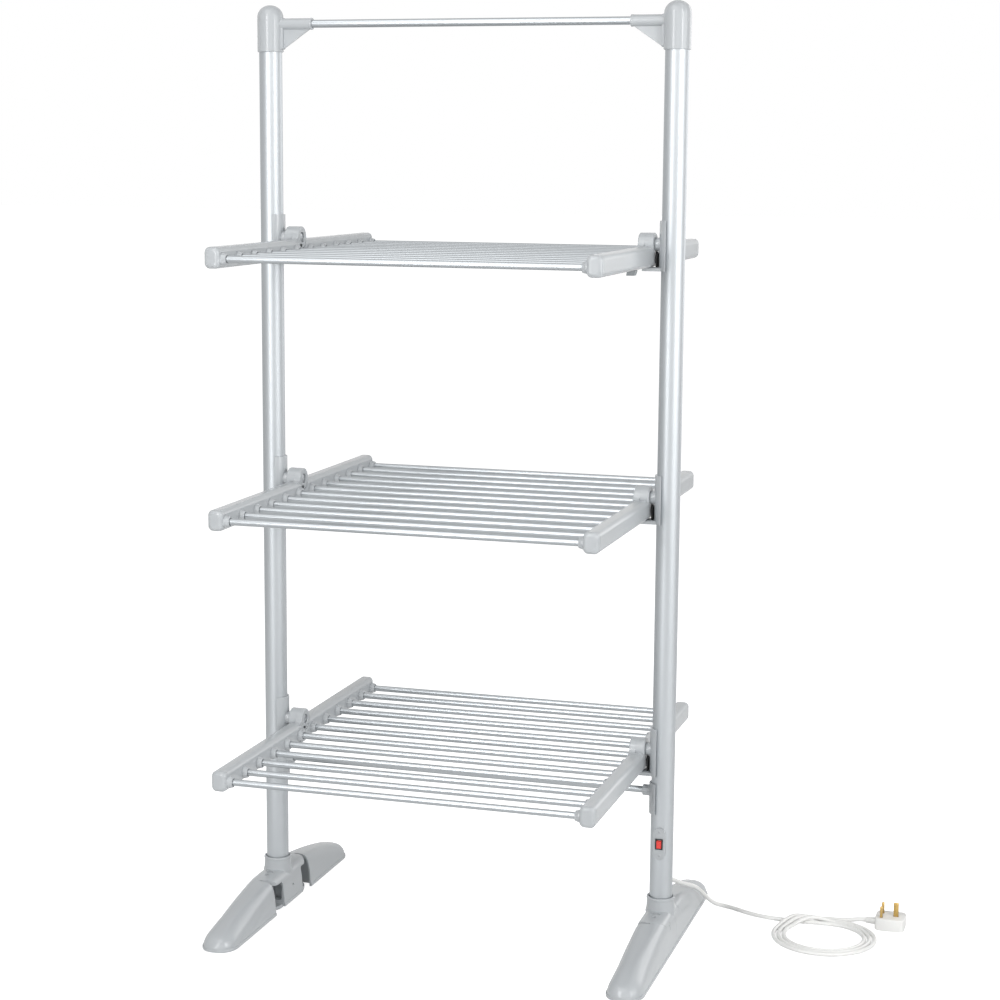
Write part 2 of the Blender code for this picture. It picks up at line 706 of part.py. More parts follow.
def shares_at(table, place):
    """Reads a table of (place, value) shares, straight between its rows."""
    for (a, low), (b, high) in zip(table, table[1:]):
        if place <= b:
            return low + (high - low) * (place - a) / (b - a)
    return table[-1][1]


def foot_half_width(distance):
    """The foot's half width at its base, at a distance from the middle."""
    start = HALF_FOOT - FOOT_TIP
    if distance <= start:
        return FOOT_WIDTH / 2
    share_out = min((distance - start) / FOOT_TIP, 1)
    return FOOT_WIDTH / 2 * (1 - share_out ** 2.3) ** TIP_BLUNT_SHARE


def foot_top(distance):
    return FOOT_BASE + (FOOT_HEIGHT - FOOT_BASE) * shares_at(FOOT_HEIGHT_SHARES, distance / HALF_FOOT)


def foot_section(half_width, top, base, with_lip, steps):
    """Points over a foot's section, from one lower edge to the other."""
    height = top - base
    lean = FOOT_DRAFT * height / FOOT_HEIGHT
    bend = min(FOOT_SHOULDER, height * 0.6, half_width * 0.6)
    upper = half_width - lean
    side = []
    if with_lip:
        lip = min(FOOT_LIP, height / 3)
        side += [(half_width + FOOT_LIP_OUT, base), (half_width + FOOT_LIP_OUT, base + lip), (half_width, base + lip)]
    else:
        side.append((half_width, base))
    for i in range(steps + 1):
        angle = math.pi / 2 * i / steps
        side.append((upper - bend + bend * math.cos(angle), top - FOOT_CROWN * bend / FOOT_SHOULDER - bend
                     + bend * math.sin(angle)))
    return side + [(0, top)] + [(-x, z) for x, z in reversed(side)]


def foot_form(inset=0.0, base=FOOT_BASE, with_lip=True, stations=FOOT_STATION_SHARES, steps=3):
    """The whole foot's outer form about a post axis at x = 0, made smaller all round by inset."""
    bm = bmesh.new()
    rings = []
    shares = [-s for s in reversed(stations[1:])] + list(stations)
    for station in shares:
        distance = abs(station) * HALF_FOOT
        half_width = foot_half_width(distance) - inset
        section = foot_section(max(half_width, FOOT_WALL), foot_top(distance) - inset, base, with_lip, steps)
        y = station * (HALF_FOOT - inset)
        rings.append([bm.verts.new((x, y, z)) for x, z in section])
    for first, second in zip(rings, rings[1:]):
        for i in range(len(first)):
            j = (i + 1) % len(first)
            bm.faces.new((first[i], first[j], second[j], second[i]))
    bm.faces.new(rings[0])
    bm.faces.new(list(reversed(rings[-1])))
    return object_from(bm, "foot_form")


def hub_outline(clear, low, high):
    """The hub's plan as tools: block, two canopies and collar, grown all round by clear.

    Made about a post axis at x = 0, for a foot whose inner side is at +X.
    """
    half = HUB_BLOCK_LENGTH / 2
    block = box((-HUB_BLOCK_OUTER - clear, -half - clear, low), (FOOT_WIDTH, half + clear, high))
    tools = [block]
    for wing in (FRONT, REAR):
        tools.append(rod((0, wing * HINGE_PLACE, low), (0, wing * HINGE_PLACE, high), 2 * (CANOPY_RADIUS + clear),
                         KNUCKLE_SIDES))
    tools.append(rod((0, 0, low), (0, 0, high), collar_diameter() + 2 * clear, KNUCKLE_SIDES))
    return tools


def collar_diameter():
    return POST_DIAMETER + 2 * FIT + 2 * COLLAR_WALL


def to_corner(piece, side, wing=REAR):
    """Puts a piece made for the rear half and an inner side at +X in its own corner under its post."""
    if side == RIGHT:
        piece.data.transform(Matrix.Diagonal((-1, 1, 1, 1)))
        piece.data.flip_normals()
    if wing == FRONT:
        piece.data.transform(Matrix.Diagonal((1, -1, 1, 1)))
        piece.data.flip_normals()
    piece.data.transform(Matrix.Translation((side * POST_X, 0, 0)))
    return piece


def make_hub(side):
    """A foot hub: collar for the post, block on the inner side, and a fork round each hinge pin."""
    form = foot_form(base=HUB_BASE, with_lip=False)
    tools = hub_outline(0, HUB_BASE - OVERRUN, FOOT_HEIGHT + OVERRUN)
    plan = join(tools[0], *tools[1:])
    hub = share(form, plan)
    fork_low, fork_high = HUB_BASE + HUB_PLATE, CANOPY_BOTTOM
    for wing in (FRONT, REAR):
        y = wing * HINGE_PLACE
        edge, beyond = sorted((wing * HUB_BLOCK_LENGTH / 2, wing * (HINGE_PLACE + 2 * CANOPY_RADIUS)))
        cut(hub, box((-FOOT_WIDTH, edge, fork_low), (FOOT_WIDTH, beyond, fork_high)),
            rod((0, y, fork_low), (0, y, fork_high), HINGE_BARREL + 2 * RUNNING, PIVOT_SIDES))
    collar = rod((0, 0, HUB_BASE), (0, 0, COLLAR_TOP), collar_diameter(), KNUCKLE_SIDES)
    join(hub, collar)
    socket = rod((0, 0, POST_FOOT), (0, 0, COLLAR_TOP + OVERRUN), POST_DIAMETER + 2 * FIT, POST_SIDES)
    cut(hub, socket)
    for wing in (FRONT, REAR):
        y = wing * HINGE_PLACE
        top = foot_top(HINGE_PLACE)
        cut(hub, rod((0, y, HUB_BASE - OVERRUN), (0, y, top + OVERRUN), HINGE_DIAMETER + 2 * FIT, PIVOT_SIDES),
            rod((0, y, top - HINGE_RECESS), (0, y, top + OVERRUN), HINGE_RECESS_DIAMETER, PIVOT_SIDES))
    node(merge_flats(to_corner(hub, side)), "foot_hub_" + SIDE_NAMES[side], "grey_moulding")


def foot_half_solid():
    """One folding half of a foot: a hollow moulded shell with its hinge tongue and pad boss."""
    half = foot_form()
    share(half, box((-FOOT_WIDTH, FOOT_SEAM, -OVERRUN), (FOOT_WIDTH, FOOT_LENGTH, FOOT_HEIGHT + OVERRUN)))
    cavity = foot_form(FOOT_WALL, -OVERRUN, False, CAVITY_STATION_SHARES, 2)
    share(cavity, box((-FOOT_WIDTH, CAVITY_START, -2 * OVERRUN), (FOOT_WIDTH, HALF_FOOT - CAVITY_END, FOOT_HEIGHT)))
    recess = box((HINGE_TONGUE / 2 - TONGUE_PROUD, -OVERRUN, -2 * OVERRUN),
                 (2 * FOOT_WIDTH, RECESS_END, FOOT_HEIGHT + 2 * OVERRUN))
    cut(half, cavity, recess, *hub_outline(RUNNING, -3 * OVERRUN, FOOT_HEIGHT + 3 * OVERRUN))
    low, high = HUB_BASE + HUB_PLATE + RUNNING, CANOPY_BOTTOM - RUNNING
    tongue = box((-HINGE_TONGUE / 2, HINGE_PLACE, low), (HINGE_TONGUE / 2, CAVITY_START - OVERRUN, high))
    barrel = rod((0, HINGE_PLACE, low), (0, HINGE_PLACE, high), HINGE_BARREL, PIVOT_SIDES)
    boss = rod((0, PAD_PLACE, PAD_THICKNESS + FIT), (0, PAD_PLACE, foot_top(PAD_PLACE) - FOOT_WALL / 2),
               PAD_BOSS_DIAMETER, PIVOT_SIDES)
    join(half, tongue, barrel, boss)
    cut(half, rod((0, HINGE_PLACE, low - OVERRUN), (0, HINGE_PLACE, high + OVERRUN), HINGE_DIAMETER + 2 * FIT,
                  PIVOT_SIDES))
    return half


def make_feet():
    """The four folding halves, each with its pad under the tip and its hinge pin in the hub."""
    pattern = foot_half_solid()
    for side in (LEFT, RIGHT):
        for wing in (FRONT, REAR):
            label = "%s_%s" % (WING_NAMES[wing], SIDE_NAMES[side])
            hinge = (side * POST_X, wing * HINGE_PLACE, 0)
            empty = empty_at("hinge_foot_" + label, hinge)
            half = to_corner(copy_of(pattern), side, wing)
            node(about(half, hinge), "foot_" + label, "grey_moulding", empty)
            pad = rod((0, PAD_PLACE, 0), (0, PAD_PLACE, PAD_THICKNESS), PAD_DIAMETER, PIVOT_SIDES)
            node(about(to_corner(pad, side, wing), hinge), "foot_pad_" + label, "rubber", empty)
            pin = rod((0, HINGE_PLACE, HUB_BASE), (0, HINGE_PLACE, foot_top(HINGE_PLACE) - HINGE_RECESS),
                      HINGE_DIAMETER, PIVOT_SIDES)
            node(to_corner(pin, side, wing), "foot_pin_" + label, "zinc_steel")
    bpy.data.objects.remove(pattern)


def stadium(width, height, steps=8):
    """A flat outline with round ends, taller than it is wide."""
    radius = width / 2
    straight = height / 2 - radius
    points = []
    for i in range(steps + 1):
        angle = math.pi * i / steps
        points.append((radius * math.cos(angle), straight + radius * math.sin(angle)))
    for i in range(steps + 1):
        angle = math.pi * (1 + i / steps)
        points.append((radius * math.cos(angle), -straight + radius * math.sin(angle)))
    return points


def make_switch():
    """The rocker switch: face plate clasping the post, black housing and red rocker."""
    x = POST_X
    front = -POST_RADIUS - PLATE_PROUD
    plate = prism([(x + px, SWITCH_HEIGHT + pz) for px, pz in stadium(PLATE_WIDTH, PLATE_HEIGHT)],
                  front, front + PLATE_DEPTH, "Y")
    wide, tall = HOUSING_WIDTH / 2, HOUSING_HEIGHT / 2
    lap = HOUSING_RIM_LAP
    window = box((x - wide + lap - FIT, -POST_DIAMETER, SWITCH_HEIGHT - tall + lap - FIT),
                 (x + wide - lap + FIT, 0, SWITCH_HEIGHT + tall - lap + FIT))
    cut(plate, post_clearance(RIGHT, SWITCH_HEIGHT - PLATE_HEIGHT, SWITCH_HEIGHT + PLATE_HEIGHT), window)
    node(plate, "switch_plate", "grey_moulding")

    rim = box((x - wide, front - FIT - HOUSING_RIM, SWITCH_HEIGHT - tall), (x + wide, front - FIT,
                                                                            SWITCH_HEIGHT + tall))
    body = box((x - wide + lap, front - FIT - HOUSING_RIM / 2, SWITCH_HEIGHT - tall + lap),
               (x + wide - lap, front + HOUSING_DEPTH, SWITCH_HEIGHT + tall - lap))
    join(rim, body)
    inner_x, inner_z = wide - lap - HOUSING_WALL, tall - lap - HOUSING_WALL
    well = box((x - inner_x, front - 2 * HOUSING_RIM - FIT, SWITCH_HEIGHT - inner_z),
               (x + inner_x, front + HOUSING_DEPTH - HOUSING_WALL, SWITCH_HEIGHT + inner_z))
    cut(rim, well)
    node(rim, "switch_housing", "black_moulding")

    empty = empty_at("hinge_rocker", (x, front + ROCKER_AXIS_DEPTH, SWITCH_HEIGHT))
    half = inner_z - 2 * RUNNING
    dip = half * math.tan(math.radians(ROCKER_THROW_DEG / 2))
    face = ROCKER_AXIS_DEPTH + HOUSING_RIM + ROCKER_PROUD
    outline = [(-face, half), (-face + dip, 0), (-face, -half), (0, -half * 0.92)]
    steps = 6
    for i in range(steps + 1):
        angle = math.pi * (i / steps - 0.5)
        outline.append((ROCKER_DEPTH * 0.5 * math.cos(angle), half * 0.62 * math.sin(angle)))
    outline.append((0, half * 0.92))
    lean = math.radians(ROCKER_THROW_DEG / 2)
    turned_outline = [(py * math.cos(lean) - pz * math.sin(lean), py * math.sin(lean) + pz * math.cos(lean))
                      for py, pz in outline]
    rocker = prism(turned_outline, RUNNING - inner_x, inner_x - RUNNING, "X")
    node(rocker, "switch_rocker", "red_lens", empty)


def smooth_points(points, spacing, last=None):
    """Points a fixed distance apart on a smooth curve through the route's points."""
    ends = [points[0]] + list(points) + [points[-1]]
    fine = []
    cuts = 12
    for a, b, c, d in zip(ends, ends[1:], ends[2:], ends[3:]):
        a, b, c, d = Vector(a), Vector(b), Vector(c), Vector(d)
        for i in range(cuts):
            t = i / cuts
            fine.append(0.5 * (2 * b + (c - a) * t + (2 * a - 5 * b + 4 * c - d) * t * t
                               + (3 * b - a - 3 * c + d) * t ** 3))
    fine.append(Vector(points[-1]))
    total = sum((q - p).length for p, q in zip(fine, fine[1:]))
    count = max(2, round(total / spacing))
    step = total / count
    result = [fine[0]]
    run = 0.0
    for p, q in zip(fine, fine[1:]):
        length = (q - p).length
        while run + length >= step * len(result) - step * 1e-6 and len(result) < count:
            result.append(p.lerp(q, (step * len(result) - run) / length))
        run += length
    result.append(fine[-1])
    return result


def gland_tip():
    return Vector((POST_X, POST_RADIUS + GLAND_LENGTH, GLAND_HEIGHT))


def coil_radius(turn):
    return COIL_START_RADIUS + COIL_PITCH * turn


def lying():
    """The height of the cord's middle where it lies on the floor."""
    return CORD_DIAMETER / 2 + CORD_LIFT


def coil_points():
    """The coil's turns, clockwise and outward from over its middle, lifted where they cross the lead."""
    cx, cy = COIL_CENTRE
    lead_y = cy + COIL_START_RADIUS
    points = []
    for i in range(COIL_TURNS * COIL_STEPS + 1):
        turn = i / COIL_STEPS
        angle = math.pi / 2 - math.tau * turn
        radius = coil_radius(turn)
        x, y = cx + radius * math.cos(angle), cy + radius * math.sin(angle)
        lift = 0.0
        if turn > 0.5:
            away = math.hypot(x - crossing_x(turn), y - lead_y + CORD_DIAMETER / 4)
            if away < COIL_HUMP_REACH:
                lift = COIL_HUMP * 0.5 * (1 + math.cos(math.pi * away / COIL_HUMP_REACH))
        points.append(Vector((x, y, lying() + lift)))
    return points


def crossing_x(turn):
    """Where the spiral's nearest turn passes over the straight lead."""
    cx = COIL_CENTRE[0]
    whole = math.floor(turn + 0.5)
    radius = coil_radius(whole - 0.12)
    return cx - math.sqrt(max(radius ** 2 - COIL_START_RADIUS ** 2, 0))


def least_gap(first, second, skip):
    """The least gap between two tubes' surfaces, measured on points between the given ones."""
    cuts = 6

    def dense(points):
        return [a.lerp(b, i / cuts) for a, b in zip(points, points[1:]) for i in range(cuts)]

    a_points, b_points = dense(first), dense(second)
    best = 1.0
    for i, a in enumerate(a_points):
        for j, b in enumerate(b_points):
            if first is second and abs(i - j) < skip * cuts:
                continue
            best = min(best, (a - b).length)
    return best - CORD_DIAMETER


def make_cord():
    """The gland on the right post, the cord over the rear foot, its loose coil, and the plug."""
    tip = gland_tip()
    gland = rod((POST_X, POST_RADIUS + FIT, GLAND_HEIGHT), tip, GLAND_ROOT_DIAMETER, KNUCKLE_SIDES,
                end_diameter=GLAND_TIP_DIAMETER)
    stub = rod((POST_X, POST_RADIUS - GLAND_STUB, GLAND_HEIGHT), (POST_X, POST_RADIUS + GLAND_LENGTH / 3, GLAND_HEIGHT),
               GLAND_STUB_DIAMETER, PIVOT_SIDES)
    join(gland, stub)
    cut(gland, post_skin_cutter())
    node(gland, "cord_gland", "white_flex")

    start = tip + Vector((0, FIT, 0))
    straight = start + Vector((0, 2 * CORD_DIAMETER, 0))
    coil = coil_points()
    join_at = coil[0]
    spacing = 2.3 * CORD_DIAMETER
    route = [straight] + [Vector(p) for p in CORD_ROUTE] + [join_at - Vector((CORD_DIAMETER + FIT, 0, 0))]
    free = [start] + smooth_points(route, spacing) + [join_at - Vector((FIT, 0, 0))]
    cord = wire(free, CORD_DIAMETER, 2, "cord")
    node(cord, "mains_cord", "white_flex")

    cx, cy = COIL_CENTRE
    end_y = coil[-1].y
    lead_in = [coil[0], coil[0] + Vector((CORD_DIAMETER, 0, 0))]
    neck = Vector((cx + COIL_RUN_OUT + 6 * CORD_DIAMETER, end_y, PLUG_CORD_HEIGHT))
    rise = [coil[-1] + Vector((COIL_RUN_OUT, 0, 0)),
            coil[-1] + Vector((COIL_RUN_OUT + 2 * CORD_DIAMETER, 0, (PLUG_CORD_HEIGHT - lying()) * 0.35)),
            neck - Vector((CORD_DIAMETER, 0, 0)), neck]
    turns = lead_in + coil[2:] + rise
    loops = wire(turns, CORD_DIAMETER, 1, "coil")
    node(loops, "cord_coil", "white_flex")
    print("least gap of the coil to itself: %.5f m" % least_gap(turns, turns, 6))
    print("least gap of the coil to the lead: %.5f m" % least_gap(free[:-3], turns[3:], 0))
    length = sum((b - a).length for a, b in zip(free, free[1:])) + sum((b - a).length for a, b in zip(turns, turns[1:]))
    print("cord length: %.4f m" % length)
    make_plug(neck + Vector((FIT, 0, 0)))


def post_skin_cutter():
    """Cuts the gland's shoulder to the post's round side, leaving its stub in the hole."""
    ring = tube((POST_X, 0, GLAND_HEIGHT - POST_DIAMETER), (POST_X, 0, GLAND_HEIGHT + POST_DIAMETER),
                POST_DIAMETER + 2 * FIT, POST_WALL + 2 * FIT + GLAND_STUB, POST_SIDES)
    hole = rod((POST_X, 0, GLAND_HEIGHT), (POST_X, POST_DIAMETER, GLAND_HEIGHT), GLAND_STUB_DIAMETER + FIT / 4,
               PIVOT_SIDES)
    return cut(ring, hole)


def make_plug(entry):
    """A moulded three-pin plug lying on its back, with the pins up."""
    x, y, z = entry
    back = x + PLUG_NECK_LENGTH
    body = box((back, y - PLUG_WIDTH / 2, CORD_LIFT), (back + PLUG_LENGTH, y + PLUG_WIDTH / 2, PLUG_THICKNESS),
               PLUG_ROUND, segments=2,
               keep_square=lambda edge: abs(edge.verts[0].co.z - edge.verts[1].co.z) < FIT)
    neck = rod(entry, (back + PLUG_ROUND, y, z), PLUG_NECK_TIP, PIVOT_SIDES, end_diameter=PLUG_NECK_DIAMETER)
    join(body, neck)
    seat = PLUG_THICKNESS - PIN_SEAT
    pins = (("live", LIVE_PLACE, -PIN_GAP / 2, PIN_WIDTH, PIN_BREADTH, PIN_LENGTH),
            ("neutral", LIVE_PLACE, PIN_GAP / 2, PIN_WIDTH, PIN_BREADTH, PIN_LENGTH),
            ("earth", EARTH_PLACE, 0.0, EARTH_BREADTH, PIN_WIDTH, EARTH_LENGTH))
    for name, along, across, size_x, size_y, length in pins:
        px, py = back + along, y + across
        pocket = box((px - size_x / 2 - FIT, py - size_y / 2 - FIT, seat - FIT),
                     (px + size_x / 2 + FIT, py + size_y / 2 + FIT, PLUG_THICKNESS + OVERRUN))
        cut(body, pocket)
        pin = box((px - size_x / 2, py - size_y / 2, seat),
                  (px + size_x / 2, py + size_y / 2, PLUG_THICKNESS + length), PIN_WIDTH / 6, segments=1)
        node(pin, "plug_pin_" + name, "brass")
    node(body, "mains_plug", "white_flex")


def about(piece, place):
    """Moves a piece's mesh so that a place in the airer becomes its origin."""
    piece.data.transform(Matrix.Translation(-Vector(place)))
    return piece


def clear_scene():
    for item in list(bpy.data.objects):
        bpy.data.objects.remove(item, do_unlink=True)
    for name in (COLLECTION, CUTTERS):
        collection = bpy.data.collections.new(name)
        bpy.context.scene.collection.children.link(collection)


def main():
    clear_scene()
    for side in (LEFT, RIGHT):
        make_post(side)
        make_cap(side)
        make_rod_saddle(side)
        make_hub(side)
        for tier in range(len(TIER_NAMES)):
            make_bracket(side, tier)
            make_pivot_pin(side, tier)
    make_feet()
    make_hanging_bar()
    make_cross_rod()
    for tier in range(len(TIER_NAMES)):
        make_lead(tier)
    for wing in (FRONT, REAR):
        make_wings(wing)
    make_switch()
    make_cord()


main()
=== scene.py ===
"""Three-tier heated clothes airer: its view, its fine pieces, their finishes and the studio.

Lengths are in metres. +Z is up, +X runs from the left post to the right post with the switch, and
+Y runs from the front to the back. The origin lies on the floor, midway between the posts.
"""
import math

import bmesh
import bpy
from mathutils import Matrix, Vector


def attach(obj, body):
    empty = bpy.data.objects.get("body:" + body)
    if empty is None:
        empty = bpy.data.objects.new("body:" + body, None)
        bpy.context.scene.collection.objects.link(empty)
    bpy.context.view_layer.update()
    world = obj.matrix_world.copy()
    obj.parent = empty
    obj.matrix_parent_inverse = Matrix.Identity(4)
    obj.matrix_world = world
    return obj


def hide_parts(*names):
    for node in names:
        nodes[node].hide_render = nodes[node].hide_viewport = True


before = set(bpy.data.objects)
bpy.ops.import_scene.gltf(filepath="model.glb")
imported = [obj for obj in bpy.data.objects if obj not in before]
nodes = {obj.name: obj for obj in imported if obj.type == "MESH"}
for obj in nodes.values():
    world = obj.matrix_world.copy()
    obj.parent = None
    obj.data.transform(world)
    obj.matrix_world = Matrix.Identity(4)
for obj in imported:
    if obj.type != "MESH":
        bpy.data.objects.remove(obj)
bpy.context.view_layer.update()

LEFT, RIGHT = -1, 1
FRONT, REAR = -1, 1
SIDE_NAMES = {LEFT: "left", RIGHT: "right"}
WING_NAMES = {FRONT: "front", REAR: "rear"}

POST_X = 0.330
POST_RADIUS = 0.01825
POST_WALL = 0.0014
POST_FOOT = 0.011
POST_TOP = 1.453
CAP_TOP = 1.479
CAP_BOTTOM = 1.406
CAP_RADIUS = 0.02075
CAP_DOME = 0.019
HANG_HEIGHT = 1.4495
HANG_RADIUS = 0.00625
SOCKET_RADIUS = 0.00925
SOCKET_REACH = 0.072
WEB_DROP = 0.0395
CAP_FLANGE = 0.0025

PIVOTS = {"bottom": 0.3195, "middle": 0.723, "top": 1.1145}
RAIL_OUTER = 0.30225
RAIL_INNER = 0.27775
RAIL_TOP = -0.003
RAIL_HEIGHT = 0.032
RAIL_END_GAP = 0.0008
RAIL_REACH = 0.327
RAIL_CORNER = 0.0078
BAR_FIRST = 0.0285
BAR_PITCH = 0.057
BAR_COUNT = 6
BAR_RADIUS = 0.00525
BAR_LEVEL = -0.021
BOSS_RADIUS = 0.00925
BOSS_LENGTH = 0.008
KNUCKLE_RADIUS = 0.0175
KNUCKLE_MIDDLE = 0.28875
KNUCKLE_CURVE = 0.008
PIN_HOLE = 0.0050

ROD_HEIGHT = 0.252
ROD_RADIUS = 0.00525
ROD_FACE = POST_X - POST_RADIUS - 0.0135

SWITCH_HEIGHT = 0.171
SWITCH_FACE = -POST_RADIUS - 0.0025

FOOT_HALF = 0.2645
FOOT_WIDTH = 0.057
FOOT_HEIGHT = 0.060
FOOT_BASE = 0.0015
FOOT_WALL = 0.0026
FOOT_TIP = 0.034
FOOT_DRAFT = 0.0035
FOOT_LIP = 0.0045
FOOT_LIP_OUT = 0.0012
FOOT_EDGE = 0.0006
# The ridge's height over the foot's length, both as shares of the whole
FOOT_PROFILE = ((0.0, 1.0), (0.25, 0.985), (0.40, 0.91), (0.63, 0.755), (0.82, 0.57), (0.93, 0.415),
                (0.975, 0.29), (1.0, 0.12))
HUB_BASE = 0.005
HUB_BLOCK_LENGTH = 0.080
HUB_BLOCK_OUTER = 0.012
CANOPY_RADIUS = 0.0266
HINGE_ROOM = 0.0232
FORK_LOW = HUB_BASE + 0.006
FORK_HIGH = FOOT_HEIGHT - 0.012
COLLAR_RADIUS = 0.0220
RECESS_END = 0.077
HINGE_PLACE = 0.047
POST_FIT = 0.0003
PAD_PLACE = 0.233
PAD_BOSS_RADIUS = 0.0105

CORD_DIAMETER = 0.007
CORD_LIES = 0.0036
GLAND_HEIGHT = 0.089
GLAND_LENGTH = 0.022
COIL_CENTRE = (0.580, 0.102)
COIL_START_RADIUS = 0.060
COIL_PITCH = 0.0085
COIL_TURNS = 3
COIL_STEPS = 24
COIL_HUMP = 0.0082
COIL_HUMP_REACH = 0.046
COIL_RUN_OUT = 0.012
PLUG_CORD_HEIGHT = 0.0085
CORD_ROUTE = (
    (0.3300, 0.0600, 0.0862), (0.3335, 0.0790, 0.0800), (0.3385, 0.0970, 0.0715),
    (0.3445, 0.1145, 0.0632), (0.3515, 0.1310, 0.0562), (0.3590, 0.1460, 0.0475),
    (0.3660, 0.1600, 0.0350), (0.3730, 0.1735, 0.0215), (0.3820, 0.1850, 0.0105),
    (0.3940, 0.1920, 0.0054), (0.4080, 0.1905, 0.0039), (0.4240, 0.1825, 0.0037),
    (0.4420, 0.1730, 0.0036), (0.4620, 0.1655, 0.0036), (0.4850, 0.1610, 0.0036),
    (0.5100, 0.1596, 0.0036), (0.5350, 0.1604, 0.0036), (0.5600, 0.1616, 0.0036),
)
CORD_EXIT = (POST_X, POST_RADIUS + GLAND_LENGTH + 0.0003, GLAND_HEIGHT)

# Sides of what is round: posts and caps, bars and sockets, tubes and pins
POST_SIDES, BAR_SIDES, TUBE_SIDES = 72, 48, 40
# Two points nearer than this, in the CAD's mesh, are one
WELD_REACH = 0.00002
# Faces that meet at more than this show a crease
CREASE_DEGREES = 35


# The photograph's view

def set_camera():
    """A camera a little right of the middle and at the height of the top tier."""
    eye = (1.0519, -3.2889, 1.2524)
    turn, tilt, roll = (math.radians(degrees) for degrees in (16.838, 9.045, 0.420))
    ahead = Vector((-math.sin(turn) * math.cos(tilt), math.cos(turn) * math.cos(tilt),
                    -math.sin(tilt)))
    level = Vector((math.cos(turn), math.sin(turn), 0))
    upright = level.cross(ahead)
    right = level * math.cos(roll) + upright * math.sin(roll)
    up = upright * math.cos(roll) - level * math.sin(roll)
    matrix = Matrix((right, up, -ahead)).transposed().to_4x4()
    matrix.translation = eye
    lens = bpy.data.cameras.new("camera")
    lens.sensor_fit = "HORIZONTAL"
    lens.sensor_width = 36
    lens.lens = 78.770
    lens.clip_end = 60
    camera = bpy.data.objects.new("camera", lens)
    camera.matrix_world = matrix
    bpy.context.scene.collection.objects.link(camera)
    bpy.context.scene.camera = camera


# Finishes

def linear(hex_colour):
    """The linear colour, with alpha, of an sRGB hex value."""
    values = [int(hex_colour[i:i + 2], 16) / 255 for i in (1, 3, 5)]
    return (*[v / 12.92 if v <= 0.04045 else ((v + 0.055) / 1.055) ** 2.4 for v in values], 1)


def add_node(tree, kind, values=None, links=None, **settings):
    """Adds a node: settings are its properties, values go on its sockets, links come into them."""
    node = tree.nodes.new(kind)
    for name, value in settings.items():
        setattr(node, name, value)
    for socket, value in (values or {}).items():
        node.inputs[socket].default_value = value
    for socket, source in (links or {}).items():
        tree.links.new(source, node.inputs[socket])
    return node


def new_material(name, colour, roughness, **values):
    """A material whose plain values sit on its shader's own sockets."""
    material = bpy.data.materials.new(name)
    material.use_nodes = True
    shader = material.node_tree.nodes["Principled BSDF"]
    shader.inputs["Base Color"].default_value = linear(colour)
    shader.inputs["Roughness"].default_value = roughness
    for socket, value in values.items():
        shader.inputs[socket.replace("_", " ")].default_value = value
    material.diffuse_color = linear(colour)
    return material, material.node_tree, shader


def satin_anodised_aluminium():
    """Extruded tube, etched and anodised: a soft silver with faint lines along its length."""
    material, tree, shader = new_material("satin_anodised_aluminium", "#B6BABD", 0.45, Metallic=1.0)
    place = add_node(tree, "ShaderNodeTexCoord")
    # Die lines are about 0.3 mm apart; they are drawn 1.5 mm apart so that they show
    stretch = add_node(tree, "ShaderNodeMapping", {"Scale": (660, 660, 3)},
                       {"Vector": place.outputs["Object"]})
    lines = add_node(tree, "ShaderNodeTexNoise", {"Scale": 1.0, "Detail": 2.0},
                     {"Vector": stretch.outputs[0]})
    gloss = add_node(tree, "ShaderNodeMapRange", {"To Min": 0.41, "To Max": 0.50},
                     {"Value": lines.outputs["Fac"]})
    tree.links.new(gloss.outputs[0], shader.inputs["Roughness"])
    relief = add_node(tree, "ShaderNodeBump", {"Strength": 0.06, "Distance": 0.0001},
                      {"Height": lines.outputs["Fac"]})
    tree.links.new(relief.outputs[0], shader.inputs["Normal"])
    return material


def moulded_abs(name, colour, roughness):
    """Injection-moulded ABS from a lightly sparked mould: a soft sheen with a very fine grain."""
    material, tree, shader = new_material(name, colour, roughness, IOR=1.53)
    sheen_change = 0.04
    place = add_node(tree, "ShaderNodeTexCoord")
    # The spark grain is about 0.3 mm across; it is drawn 1.2 mm across so that it shows
    grain = add_node(tree, "ShaderNodeTexNoise", {"Scale": 830.0, "Detail": 2.0},
                     {"Vector": place.outputs["Object"]})
    relief = add_node(tree, "ShaderNodeBump", {"Strength": 0.06, "Distance": 0.0001},
                      {"Height": grain.outputs["Fac"]})
    tree.links.new(relief.outputs[0], shader.inputs["Normal"])
    # The melt's flow leaves broad, faint clouds about 60 mm across
    cloud = add_node(tree, "ShaderNodeTexNoise", {"Scale": 16.0, "Detail": 1.0},
                     {"Vector": place.outputs["Object"]})
    gloss = add_node(tree, "ShaderNodeMapRange",
                     {"To Min": roughness - sheen_change, "To Max": roughness + sheen_change},
                     {"Value": cloud.outputs["Fac"]})
    tree.links.new(gloss.outputs[0], shader.inputs["Roughness"])
    return material


def lacquered_tube():
    """Thin steel tube with a silver lacquer: a little glossier than the posts, with sharper streaks."""
    material, tree, shader = new_material("silver_lacquered_tube", "#A9ADB0", 0.30, Metallic=1.0)
    place = add_node(tree, "ShaderNodeTexCoord")
    # The sprayed coat clouds a little every 25 mm
    clouds = add_node(tree, "ShaderNodeTexNoise", {"Scale": 40.0, "Detail": 1.0},
                      {"Vector": place.outputs["Object"]})
    gloss = add_node(tree, "ShaderNodeMapRange", {"To Min": 0.28, "To Max": 0.32},
                     {"Value": clouds.outputs["Fac"]})
    tree.links.new(gloss.outputs[0], shader.inputs["Roughness"])
    return material


